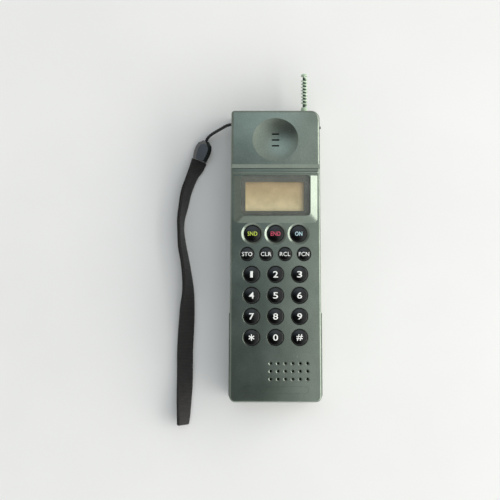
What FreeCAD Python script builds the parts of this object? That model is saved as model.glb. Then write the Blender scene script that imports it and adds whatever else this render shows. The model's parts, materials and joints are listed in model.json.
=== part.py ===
import FreeCAD, Part
import math
import os
import re

import Sketcher

# Handheld brick telephone with a retracted helical antenna and a wrist strap.
# It lies on its back: X across, Y towards the antenna end, Z out of the keypad face.
# The origin is on the flat of the back, half way along the case. All sizes are in millimetres.

SIZES = {
    # Case outline, seen from the front: a long block that widens a little towards the bottom.
    "case_length": 186.2,
    "case_half_mid": 29.24,
    "case_flare": 0.008,
    "case_draft": 2.5,
    "corner_bottom": 3.8,
    "corner_top_left": 2.0,
    "corner_top_right": 5.5,
    "corner_inner": 1.5,
    # Heights of the case, from the back.
    "back_wall": 1.6,
    "parting_z": 19.5,
    "face_z": 31.8,
    "case_wall": 2.1,
    "face_wall": 2.0,
    "shell_step": 0.15,
    "face_edge_round": 1.2,
    "back_edge_round": 2.2,
    # Raised surround of the display.
    "hump_z": 33.8,
    "hump_half": 22.3,
    "hump_run": 4.3,
    "hump_rim": 0.35,
    "hump_gap": 0.5,
    "hump_corner": 7.0,
    "hump_wall": 1.8,
    "room_rim": 0.4,
    # Bead and groove between the display and the ear block.
    "strip_z": 33.0,
    "bead_gap": 1.1,
    "bead_width": 1.7,
    "bead_z": 34.3,
    "strip_inset": 1.8,
    "bead_inset": 1.7,
    "bead_round": 0.75,
    # Ear block with its hollow and its three slots, placed from the antenna end.
    "ear_length": 37.7,
    "ear_step_z": 34.0,
    "ear_slope_run": 3.0,
    "ear_slope_z": 35.7,
    "ear_z": 36.0,
    "ear_crest": 10.6,
    "ear_crest_radius": 300.0,
    "ear_edge_round": 1.5,
    "ear_ceiling_z": 32.2,
    "ear_room_side": 2.5,
    "ear_room_low": 0.8,
    "ear_room_end": 1.4,
    "dish_inset": 19.1,
    "dish_radius": 40.0,
    "dish_depth": 2.7,
    "ear_slot_width": 4.7,
    "ear_slot_height": 0.95,
    "ear_slot_pitch": 3.7,
    # Plain recess at the bottom of the face and the microphone holes.
    "plate_width": 42.5,
    "plate_height": 5.1,
    "plate_inset": 8.5,
    "plate_depth": 0.3,
    "plate_groove": 0.5,
    "mic_hole_radius": 0.75,
    "mic_sink_radius": 1.4,
    "mic_sink_depth": 0.6,
    "mic_pitch_x": 4.7,
    "mic_pitch_y": 5.0,
    "mic_x": 8.7,
    "mic_y": -72.8,
    # Display window, glass, frame and light.
    "window_height": 25.6,
    "window_rim": 0.3,
    "window_corner": 2.5,
    "window_thick": 1.1,
    "window_sink": 0.2,
    "window_gap": 0.1,
    "window_ledge": 2.2,
    "glass_side": 1.9,
    "glass_end": 2.2,
    "glass_thick": 2.0,
    "view_margin": 1.05,
    "view_x": -0.6,
    "view_drop": 0.75,
    "frame_rim": 1.4,
    "frame_lip": 0.7,
    "frame_gap": 0.1,
    "strip_width": 1.8,
    "strip_edge": 0.4,
    "light_inset": 1.0,
    "light_gap": 0.3,
    # Keys: radii of the caps, columns, and rows counted down from the display.
    "large_cap": 5.2,
    "large_pitch": 14.7,
    "large_drop": 11.1,
    "large_sink": 0.25,
    "well_depth": 1.3,
    "well_radius": 7.0,
    "small_cap": 4.1,
    "small_pitch": 12.05,
    "small_drop": 12.95,
    "number_cap": 5.05,
    "number_pitch_x": 15.27,
    "number_pitch_y": 13.37,
    "number_drop": 12.9,
    "key_rise": 0.45,
    "key_crown": 27.0,
    "key_round": 0.55,
    "key_gap": 0.15,
    "key_bevel": 0.45,
    "key_flange": 0.6,
    "key_flange_thick": 1.4,
    "key_flange_gap": 0.15,
    # Rubber mat under the keys.
    "mat_margin": 7.3,
    "mat_thick": 1.0,
    "dome_base": 4.4,
    "dome_top": 3.3,
    "dome_shrink": 0.6,
    "post_radius": 1.5,
    "post_gap": 0.2,
    # Logic board in the front half and radio board in the back half.
    "board_thick": 1.2,
    "logic_z": 22.0,
    "logic_side_gap": 1.3,
    "logic_end_gap": 2.5,
    "logic_over": 4.9,
    "radio_z": 9.4,
    "radio_tube_gap": 2.3,
    "radio_wall_gap": 1.5,
    "radio_end_gap": 3.0,
    "radio_post_inset": 3.0,
    "radio_post_high_left": 7.0,
    "radio_post_low_left": 4.0,
    "radio_post_rise": 14.0,
    "radio_post_drop": 6.0,
    # Chips: the processor, memory, sound chip, display driver and clock; then the radio's three.
    "chip_height": 2.2,
    "chip_drop": 16.7,
    "processor_side": 14.0,
    "memory_width": 12.0,
    "memory_length": 8.0,
    "sound_width": 10.0,
    "sound_length": 7.0,
    "driver_width": 18.0,
    "driver_length": 12.0,
    "clock_width": 8.0,
    "mixer_side": 12.0,
    "mixer_rise": 8.0,
    "mixer_height": 2.4,
    "filter_drop": 9.0,
    "filter_x": -8.0,
    "filter_width": 8.0,
    "filter_length": 6.0,
    "filter_height": 4.0,
    "tuner_x": 7.0,
    "tuner_width": 10.0,
    "tuner_length": 8.0,
    "tuner_height": 3.0,
    # Case screws and their bosses.
    "screw_inset": 4.84,
    "screw_top_inset": 27.1,
    "screw_pack_gap": 6.9,
    "screw_low_inset": 8.6,
    "screw_radius": 1.2,
    "screw_head_radius": 2.3,
    "screw_head_thick": 1.4,
    "screw_top_z": 27.0,
    "screw_seat_z": 11.0,
    "screw_gap": 0.1,
    "pilot_spare": 0.5,
    "drive_width": 0.6,
    "drive_length": 3.0,
    "drive_depth": 0.7,
    "boss_radius": 2.7,
    "back_boss_radius": 3.3,
    "board_gap": 0.3,
    # Earpiece, microphone and ringer.
    "earpiece_radius": 13.0,
    "earpiece_thick": 5.2,
    "earpiece_dip": 1.0,
    "gasket_width": 3.0,
    "gasket_thick": 0.8,
    "ear_ring_wall": 1.2,
    "ear_ring_lift": 1.0,
    "microphone_radius": 4.75,
    "microphone_thick": 5.2,
    "boot_wall": 1.4,
    "boot_lip": 1.6,
    "ringer_radius": 8.0,
    "ringer_thick": 5.0,
    "ringer_mouth": 1.5,
    "ringer_mouth_depth": 2.0,
    "ringer_x": -9.0,
    "ringer_inset": 23.1,
    "ringer_slot": 1.2,
    "ringer_slot_pitch": 2.6,
    "ringer_slot_length": 10.0,
    # Parts on the radio board.
    "can_width": 32.0,
    "can_length": 38.0,
    "can_height": 7.0,
    "can_wall": 0.4,
    "can_gap": 7.0,
    "duplexer_width": 28.0,
    "duplexer_length": 17.0,
    "duplexer_height": 6.0,
    "duplexer_inset": 4.0,
    "duplexer_well": 1.5,
    "duplexer_floor": 1.0,
    "duplexer_pitch": 5.0,
    "amplifier_width": 26.0,
    "amplifier_length": 16.0,
    "amplifier_height": 4.0,
    "header_width": 16.0,
    "header_length": 5.0,
    "header_gap": 6.5,
    # Antenna: a sliding rod with a helix on top.
    "antenna_inset": 10.54,
    "antenna_z": 13.0,
    "rod_radius": 0.8,
    "rod_low": -14.0,
    "rod_stop_radius": 1.7,
    "rod_stop_length": 5.0,
    "tube_radius": 2.1,
    "tube_bore": 1.85,
    "tube_end": 4.0,
    "saddle_half": 2.6,
    "saddle_thick": 2.0,
    "saddle_inset": 8.0,
    "bushing_radius": 3.0,
    "bushing_bore": 0.9,
    "bushing_length": 7.0,
    "bushing_flange": 3.4,
    "bushing_flange_thick": 0.4,
    "bushing_lap": 0.1,
    "antenna_contact_foot": 2.5,
    "antenna_contact_gap": 0.5,
    "antenna_contact_thick": 1.8,
    "ferrule_radius": 2.05,
    "ferrule_length": 3.7,
    "ferrule_round": 0.4,
    "ferrule_gap": 0.3,
    "coil_radius": 1.6,
    "coil_wire": 0.9,
    "coil_pitch": 2.05,
    "coil_turns": 8.0,
    "coil_core_radius": 0.95,
    "coil_cap_length": 1.7,
    "coil_cap_round": 1.2,
    # Battery pack on the lower back and its rails.
    "pack_spare": 4.9,
    "pack_gap": 0.3,
    "pack_margin": 0.5,
    "pack_deck_z": 16.8,
    "pack_floor": 1.3,
    "pack_wall": 1.5,
    "pack_slide_gap": 0.2,
    "pack_corner": 0.8,
    "rail_inset": 0.94,
    "rail_gap": 0.3,
    "rail_top_gap": 0.3,
    "rail_tongue": 0.7,
    "rail_tongue_thick": 0.8,
    "rail_tongue_z": 17.9,
    "rail_tongue_low": 6.0,
    "rail_tongue_high": 2.0,
    "rail_groove_high": 1.0,
    "deck_end_gap": 1.0,
    "lid_thick": 1.0,
    "cell_radius": 6.95,
    "cell_length": 48.5,
    "cell_gap": 0.15,
    "cell_side_gap": 0.2,
    "deck_post_x": 19.0,
    "deck_post_high": 8.9,
    "deck_post_low": 17.1,
    "cell_nub_radius": 2.5,
    "cell_nub": 0.8,
    "cell_end_gap": 0.1,
    "link_thick": 0.3,
    "link_half": 2.0,
    "contact_pitch": 9.0,
    "contact_width": 2.6,
    "contact_half": 1.0,
    "contact_gap": 0.4,
    "contact_z": 8.5,
    "housing_margin": 3.5,
    "housing_length": 3.0,
    "terminal_width": 5.0,
    "terminal_height": 5.0,
    "terminal_thick": 0.8,
    "latch_half": 4.5,
    "latch_length": 16.1,
    "latch_foot": 4.0,
    "latch_web": 1.5,
    "latch_low": 0.3,
    "latch_thick": 1.0,
    "latch_nose_z": 2.6,
    "latch_barb": 0.8,
    "latch_lift": 1.2,
    "latch_gap": 0.5,
    "latch_catch_gap": 0.3,
    "latch_reach": 0.9,
    "latch_end_gap": 1.0,
    "latch_riser": 1.2,
    "latch_hook": 0.8,
    # Wrist strap: bar in a side pocket, thin cord, slider and flat webbing.
    "strap_inset": 8.5,
    "strap_z": 13.0,
    "strap_pocket_depth": 4.8,
    "strap_pocket_half": 3.0,
    "strap_pocket_rise": 1.6,
    "strap_pocket_wall": 1.4,
    "strap_bar_radius": 0.85,
    "strap_bar_inset": 1.8,
    "strap_bar_hold": 1.5,
    "cord_width": 1.8,
    "slider_length": 13.4,
    "slider_foot": 4.7,
    "slider_half": 5.4,
    "slider_shoulder": 4.6,
    "slider_neck": 1.9,
    "slider_height": 6.8,
    "slider_chamfer": 2.2,
    "webbing_width": 10.5,
    "webbing_thick": 2.4,
    # Small rubber plug in the right flank.
    "plug_radius": 0.9,
    "plug_inset": 10.3,
    "plug_z": 25.0,
    "plug_depth": 1.8,
    "plug_proud": 0.35,
    "plug_round": 0.3,
    # Flat faces that only rest on each other are this far from a running fit.
    "seat_gap": 0.05,
    # A joined shape reaches this far into its neighbour, and a cutting one this far past its part.
    "overlap": 0.5,
    "overrun": 2.0,
    # A countersink goes this share of its depth past the face.
    "past_face": 0.02,
}
# Two places closer together than this count as one.
NEARLY = 0.001
# A sketch's lines start on a circle this large, before their places pull them into shape.
SKETCH_START = 10.0

DOC = FreeCAD.newDocument("handset")
SHEET = DOC.addObject("Spreadsheet::Sheet", "Sizes")
for row, (alias, number) in enumerate(SIZES.items(), start=1):
    SHEET.set("A%d" % row, alias)
    SHEET.set("B%d" % row, str(number))
    SHEET.setAlias("B%d" % row, alias)
DOC.recompute()

NODES = {}
WORD = re.compile(r"[a-z]+(?:_[a-z]+)*")


def size(alias):
    """Read one driving dimension back from the sheet."""
    return float(getattr(SHEET, alias))


def formula(text):
    """Write an expression so that each word names its cell in the sheet."""
    return WORD.sub(lambda found: "Sizes." + found.group(), str(text))


def bind(made, **sizes):
    """Bind properties of an object to expressions on the sheet."""
    for name, text in sizes.items():
        made.setExpression(name, formula(text))
    return made


def place(made, x=0, y=0, z=0):
    for letter, text in (("x", x), ("y", y), ("z", z)):
        made.setExpression("Placement.Base." + letter, formula(text))
    return made


def node(made, name):
    """Name a finished sub-part: the label is the name of its file."""
    made.Label = name
    NODES[name] = made
    return made


TURNS = {
    "X": FreeCAD.Rotation(FreeCAD.Vector(0, 1, 0), 90),
    "Y": FreeCAD.Rotation(FreeCAD.Vector(1, 0, 0), -90),
    "Z": FreeCAD.Rotation(),
}


def box(name, x, y, z):
    """A box between two expressions along each axis."""
    made = DOC.addObject("Part::Box", name)
    spans = [f"({high}) - ({low})" for low, high in (x, y, z)]
    bind(made, Length=spans[0], Width=spans[1], Height=spans[2])
    return place(made, x[0], y[0], z[0])


def block(name, centre, spans, z):
    """A box centred on a point of the plan."""
    (x, y), (width, length) = centre, spans
    return box(
        name,
        (f"{x} - {width} / 2", f"{x} + {width} / 2"),
        (f"{y} - {length} / 2", f"{y} + {length} / 2"),
        z,
    )


def cylinder(name, radius, start, length, axis="Z"):
    """A cylinder from the centre of its first face along an axis."""
    made = DOC.addObject("Part::Cylinder", name)
    made.Placement = FreeCAD.Placement(FreeCAD.Vector(), TURNS[axis])
    bind(made, Radius=radius, Height=length)
    return place(made, *start)


def cone(name, radius_low, radius_high, start, length, axis="Z"):
    made = DOC.addObject("Part::Cone", name)
    made.Placement = FreeCAD.Placement(FreeCAD.Vector(), TURNS[axis])
    bind(made, Radius1=radius_low, Radius2=radius_high, Height=length)
    return place(made, *start)


def countersink(name, narrow, wide, centre, depth):
    """A cone that opens towards the face, down to a depth under it."""
    return cone(
        name, narrow, f"{wide} + ({wide} - ({narrow})) * past_face",
        (*centre, f"face_z - {depth}"), f"{depth} * (1 + past_face)",
    )


def sphere(name, radius, centre):
    made = DOC.addObject("Part::Sphere", name)
    bind(made, Radius=radius)
    return place(made, *centre)


def fuse(name, *shapes):
    if len(shapes) == 1:
        return shapes[0]
    made = DOC.addObject("Part::MultiFuse", name)
    made.Shapes = list(shapes)
    return made


def group(name, *shapes):
    """Separate solids kept together as one node."""
    made = DOC.addObject("Part::Compound", name)
    made.Links = list(shapes)
    return made


def cut(name, base, *tools):
    made = DOC.addObject("Part::Cut", name)
    made.Base = base
    made.Tool = fuse(name + "_tools", *tools)
    return made


def common(name, first, second):
    made = DOC.addObject("Part::Common", name)
    made.Base = first
    made.Tool = second
    return made


def edges_where(shape, test):
    """Indexes, counted from one, of the edges that pass a test."""
    return [
        index for index, edge in enumerate(shape.Edges, start=1)
        if not edge.Degenerated and test(edge)
    ]


def fillet(name, base, radius, test):
    """Round the edges of a finished solid that pass a test."""
    DOC.recompute()
    made = DOC.addObject("Part::Fillet", name)
    made.Base = base
    made.Edges = [(index, radius, radius) for index in edges_where(base.Shape, test)]
    return made


def body_sketch(body, name, role, z=0, y=0, x=0):
    """A sketch on one of its body's own origin planes, moved by an offset."""
    plane = next(feature for feature in body.Origin.OriginFeatures if feature.Role == role)
    profile = body.newObject("Sketcher::SketchObject", name)
    profile.AttachmentSupport = [(plane, "")]
    profile.MapMode = "FlatFace"
    for letter, text in (("x", x), ("y", y), ("z", z)):
        profile.setExpression("AttachmentOffset.Base." + letter, formula(text))
    return profile


def polygon(profile, points):
    """Straight lines through points, each held by two signed distances from the origin."""
    count = len(points)
    start = [
        FreeCAD.Vector(SKETCH_START * math.cos(turn), SKETCH_START * math.sin(turn), 0)
        for turn in (math.tau * index / count for index in range(count))
    ]
    for index in range(count):
        profile.addGeometry(Part.LineSegment(start[index], start[(index + 1) % count]), False)
    for index in range(count):
        profile.addConstraint(Sketcher.Constraint("Coincident", index, 2, (index + 1) % count, 1))
    for index, (across, along) in enumerate(points):
        for kind, text, value in (
            ("DistanceX", across, start[index].x),
            ("DistanceY", along, start[index].y),
        ):
            held = profile.addConstraint(Sketcher.Constraint(kind, -1, 1, index, 1, value))
            profile.setExpression("Constraints[%d]" % held, formula(text))


def prism(name, role, points, length, offset=0, middle=False):
    """A PartDesign body padded from a polygon on an origin plane."""
    body = DOC.addObject("PartDesign::Body", name)
    profile = body_sketch(body, name + "_outline", role, z=offset)
    polygon(profile, points)
    pad = body.newObject("PartDesign::Pad", name + "_pad")
    pad.Profile = profile
    pad.Midplane = middle
    bind(pad, Length=length)
    return body


def half_width(y, inset=0):
    """Half the width of the case at a place along it, less an inset."""
    return f"case_half_mid - case_flare * ({y}) - ({inset})"


def case_block(name, y, z, inset=0, draft=False, corners=None, round_end=None):
    """A slice of the case: tapered in plan, drafted or straight in height.

    corners gives the radii at the bottom, top left and top right, None for a sharp corner;
    round_end gives the end whose outer edges are rounded, high or low, and their radius.
    """
    low, high = y
    body = DOC.addObject("PartDesign::Body", name)
    profile = body_sketch(body, name + "_outline", "XY_Plane", z=z[0])
    wide, narrow = half_width(low, inset), half_width(high, inset)
    polygon(profile, [
        (f"-({wide})", low), (wide, low), (narrow, high), (f"-({narrow})", high),
    ])
    pad = body.newObject("PartDesign::Pad", name + "_pad")
    pad.Profile = profile
    bind(pad, Length=f"({z[1]}) - ({z[0]})")
    if draft:
        bind(pad, TaperAngle="-case_draft")
    DOC.recompute()
    feature = pad
    middle = pad.Shape.BoundBox.Center.y
    for label, radius, side in zip(("bottom", "left", "right"), corners or (), (0, -1, 1)):
        if radius is None:
            continue
        upright = edges_where(feature.Shape, lambda edge: (
            abs(edge.tangentAt(edge.FirstParameter).z) > 0.9
            and len(edge.Vertexes) == 2
            and (edge.CenterOfMass.y < middle if side == 0 else (
                edge.CenterOfMass.y > middle and edge.CenterOfMass.x * side > 0))
        ))
        feature = round_edges(body, name + "_corner_" + label, feature, upright, radius)
    if round_end:
        level, radius = round_end
        height = (pad.Shape.BoundBox.ZMax if level == "high" else pad.Shape.BoundBox.ZMin)
        rim = edges_where(feature.Shape, lambda edge: (
            abs(edge.BoundBox.ZMax - height) < NEARLY and abs(edge.BoundBox.ZMin - height) < NEARLY
        ))
        feature = round_edges(body, name + "_rim", feature, rim, radius)
    return body


def round_edges(body, name, feature, indexes, radius):
    made = body.newObject("PartDesign::Fillet", name)
    made.Base = (feature, ["Edge%d" % index for index in indexes])
    bind(made, Radius=radius)
    DOC.recompute()
    return made


CASE_LOW = "-case_length / 2"
CASE_HIGH = "case_length / 2"
CEILING_Z = "face_z - face_wall"
THROUGH_FACE = "face_wall + 2 * overrun"
FLANGE_LOW = "face_z - face_wall - key_flange_gap - key_flange_thick"
BOARD_TOP = "logic_z + board_thick"
RADIO_TOP = "radio_z + board_thick"

# Places along the face, from the antenna end down.
EAR_LOW = "(case_length / 2 - ear_length)"
CREST_Y = f"({EAR_LOW} + ear_crest)"
DISH_Y = "(case_length / 2 - dish_inset)"
BEAD_LOW = f"({EAR_LOW} - bead_gap - bead_width)"
HUMP_HIGH = f"({BEAD_LOW} - hump_gap)"
HUMP_LOW = f"({HUMP_HIGH} - window_height - 2 * hump_rim)"
WINDOW_Y = f"({HUMP_HIGH} - hump_rim - window_height / 2)"
LARGE_Y = f"({HUMP_LOW} - large_drop)"
SMALL_Y = f"({LARGE_Y} - small_drop)"
NUMBER_Y = f"({SMALL_Y} - number_drop)"
LAST_ROW_Y = f"({NUMBER_Y} - 3 * number_pitch_y)"
PLATE_Y = "(plate_inset - case_length / 2)"

# The window fills the surround, the glass the window, and the picture the glass.
WINDOW_WIDTH = "(2 * (hump_half - window_rim))"
GLASS_WIDTH = f"({WINDOW_WIDTH} - 2 * glass_side)"
GLASS_HEIGHT = "(window_height - 2 * glass_end)"

# The pack is as long as its cells, its walls and the room for the contacts and the latch.
PACK_HIGH = "(cell_length + 2 * link_thick + 2 * pack_wall + pack_spare - case_length / 2)"
PACK_TOP = "parting_z - rail_top_gap"
DECK_Z = "pack_deck_z + pack_slide_gap"
WALL_IN = f"({PACK_HIGH} + pack_gap + pack_wall)"
RAIL_INNER = "(case_half_mid - rail_inset)"
LATCH_ROOT = f"({PACK_HIGH} + latch_length)"

# Antenna, boards and strap pocket, from the sides and the antenna end.
ANTENNA_X = "(case_half_mid - antenna_inset)"
TUBE_LOW = "(rod_low - tube_end)"
TUBE_HIGH = "(case_length / 2 - bushing_length + bushing_lap)"
LOGIC_HIGH = f"({HUMP_HIGH} + logic_over)"
LOGIC_HALF = f"(case_half_mid - case_flare * {LOGIC_HIGH} - case_wall - logic_side_gap)"
RADIO_LEFT = f"(-{LOGIC_HALF})"
RADIO_RIGHT = f"({ANTENNA_X} - tube_radius - radio_tube_gap)"
RADIO_MIDDLE = f"(({RADIO_LEFT} + {RADIO_RIGHT}) / 2)"
RADIO_HIGH = "(case_length / 2 - case_wall - radio_end_gap)"
RADIO_LOW = f"({WALL_IN} + radio_wall_gap)"
DUPLEXER_Y = f"({RADIO_HIGH} - duplexer_inset - duplexer_length / 2)"
CAN_Y = f"({DUPLEXER_Y} - duplexer_length / 2 - can_gap - can_length / 2)"
HEADER_Y = f"({CAN_Y} - can_length / 2 - header_gap - header_length / 2)"
AMPLIFIER_Y = f"({HEADER_Y} - header_length / 2 - header_gap - amplifier_length / 2)"
RINGER_Y = "(case_length / 2 - ringer_inset)"
STRAP_Y = "(case_length / 2 - strap_inset)"
STRAP_WALL_X = f"(case_half_mid - case_flare * {STRAP_Y} - shell_step)"
STRAP_BLOCK_RIGHT = f"strap_pocket_depth + strap_pocket_wall - {STRAP_WALL_X}"
STRAP_BLOCK_LOW = f"{STRAP_Y} - strap_pocket_half - strap_pocket_wall"
PLUG_Y = "(case_length / 2 - plug_inset)"

SCREW_X = "(case_half_mid - screw_inset)"
SCREW_MID_Y = f"({PACK_HIGH} + screw_pack_gap)"
SCREWS = [
    (f"{side} * {SCREW_X}", y)
    for y in ("(case_length / 2 - screw_top_inset)", SCREW_MID_Y,
              "(screw_low_inset - case_length / 2)")
    for side in (-1, 1)
]
POSTS = [
    (f"{side} * number_pitch_x / 2", f"{NUMBER_Y} - {step} * number_pitch_y")
    for side in (-1, 1) for step in (0.5, 2.5)
]
LARGE_KEYS = ["key_send", "key_end", "key_power"]
SMALL_KEYS = ["key_store", "key_clear", "key_recall", "key_function"]
NUMBER_KEYS = [
    ["key_1", "key_2", "key_3"],
    ["key_4", "key_5", "key_6"],
    ["key_7", "key_8", "key_9"],
    ["key_star", "key_0", "key_hash"],
]


def key_places():
    """Name, cap radius alias and centre of every key."""
    for column, name in enumerate(LARGE_KEYS):
        yield name, "large_cap", f"{column - 1} * large_pitch", LARGE_Y
    for column, name in enumerate(SMALL_KEYS):
        yield name, "small_cap", f"{column - 1.5} * small_pitch", SMALL_Y
    for line, names in enumerate(NUMBER_KEYS):
        for column, name in enumerate(names):
            across = f"{column - 1} * number_pitch_x"
            yield name, "number_cap", across, f"{NUMBER_Y} - {line} * number_pitch_y"


# Front cover
def ear_block():
    """Raised end of the face, crowned along the case, with a slope at its lower end."""
    blank = case_block(
        "ear_blank", (EAR_LOW, CASE_HIGH), ("parting_z", "ear_z + overrun"), draft=True,
        corners=(None, "corner_top_left", "corner_top_right"),
    )
    crown = cylinder(
        "ear_crown", "ear_crest_radius",
        ("-case_half_mid - overrun", CREST_Y, "ear_z - ear_crest_radius"),
        "2 * (case_half_mid + overrun)", "X",
    )
    slope_end, above = f"{EAR_LOW} + ear_slope_run", "ear_z + 2 * overrun"
    slope = prism("ear_slope", "YZ_Plane", [
        (f"{EAR_LOW} - overrun", "ear_step_z"), (EAR_LOW, "ear_step_z"),
        (slope_end, "ear_slope_z"), (slope_end, above), (f"{EAR_LOW} - overrun", above),
    ], "2 * (case_half_mid + overrun)", middle=True)
    raised = cut("ear_raised", common("ear_crowned", blank, crown), slope)

    low = size("case_length") / 2 - size("ear_length")
    crest_y, radius = low + size("ear_crest"), size("ear_crest_radius")
    crest_z = size("ear_z") - radius

    def on_crown(vertex):
        reach = math.hypot(vertex.Point.y - crest_y, vertex.Point.z - crest_z)
        return abs(reach - radius) < 10 * NEARLY

    return fillet("ear_rounded", raised, size("ear_edge_round"), lambda edge: (
        all(on_crown(vertex) for vertex in edge.Vertexes)
        and edge.BoundBox.YMax > low + size("ear_slope_run") + size("overlap")
    ))


def hump():
    """Raised surround of the display: a frustum with its upper side upright, within the case."""
    made = DOC.addObject("Part::Wedge", "hump_blank")
    made.Placement = FreeCAD.Placement(FreeCAD.Vector(), FreeCAD.Rotation(FreeCAD.Vector(1, 0, 0), 90))
    foot = "face_z - overlap"
    lean = "(1 + overlap / (hump_z - face_z)) * hump_run"
    bind(
        made,
        Ymin=foot, Ymax="hump_z",
        Xmin=f"-hump_half - {lean}", Xmax=f"hump_half + {lean}",
        X2min="-hump_half", X2max="hump_half",
        Zmin=f"-{HUMP_HIGH}", Zmax=f"{lean} - {HUMP_LOW}",
        Z2min=f"-{HUMP_HIGH}", Z2max=f"-{HUMP_LOW}",
    )
    rounded = fillet("hump_rounded", made, size("hump_corner"), lambda edge: (
        min(edge.BoundBox.XLength, edge.BoundBox.YLength, edge.BoundBox.ZLength) > NEARLY
    ))
    limit = case_block(
        "hump_limit", (f"{HUMP_LOW} - 2 * hump_run", HUMP_HIGH), ("parting_z", "hump_z + overrun"),
        draft=True,
    )
    return common("hump_trimmed", rounded, limit)


def bead():
    blank = box(
        "bead_blank",
        (f"-({half_width(BEAD_LOW, 'bead_inset')})", half_width(BEAD_LOW, "bead_inset")),
        (BEAD_LOW, f"{BEAD_LOW} + bead_width"), ("face_z - overlap", "bead_z"),
    )
    top = size("bead_z")
    return fillet("bead_rounded", blank, size("bead_round"), lambda edge: (
        edge.BoundBox.ZMax > top - NEARLY
    ))


def key_openings():
    """Wells of the large keys, bevelled holes of the others."""
    for name, cap, x, y in key_places():
        hole = f"{cap} + key_gap"
        yield cylinder(name + "_hole", hole, (x, y, f"{CEILING_Z} - overrun"), THROUGH_FACE)
        if cap == "large_cap":
            yield countersink(name + "_well", hole, "well_radius", (x, y), "well_depth")
        else:
            yield countersink(name + "_bevel", hole, f"({hole} + key_bevel)", (x, y), "key_bevel")


def mic_holes():
    for column in range(6):
        for line in range(3):
            x = f"mic_x + {column - 2.5} * mic_pitch_x"
            y = f"mic_y + {1 - line} * mic_pitch_y"
            label = f"mic_hole_{column}_{line}"
            yield cylinder(label, "mic_hole_radius", (x, y, f"{CEILING_Z} - overrun"), THROUGH_FACE)
            yield countersink(label + "_sink", "mic_hole_radius", "mic_sink_radius", (x, y),
                              "mic_sink_depth")


def plain_recess():
    """A shallow groove round a bare plate, with round ends."""
    def stadium(name, shrink, low, high):
        half = f"(plate_height / 2 - {shrink})"
        reach = "(plate_width - plate_height) / 2"
        return fuse(
            name,
            box(name + "_bar", (f"-{reach}", reach), (f"{PLATE_Y} - {half}", f"{PLATE_Y} + {half}"),
                (low, high)),
            cylinder(name + "_left", half, (f"-{reach}", PLATE_Y, low), f"{high} - ({low})"),
            cylinder(name + "_right", half, (reach, PLATE_Y, low), f"{high} - ({low})"),
        )
    outer = stadium("plate_outer", 0, "face_z - plate_depth", "face_z + overlap")
    inner = stadium("plate_inner", "plate_groove", "face_z - 2 * plate_depth", "face_z + overrun")
    return cut("plate_ring", outer, inner)


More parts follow.
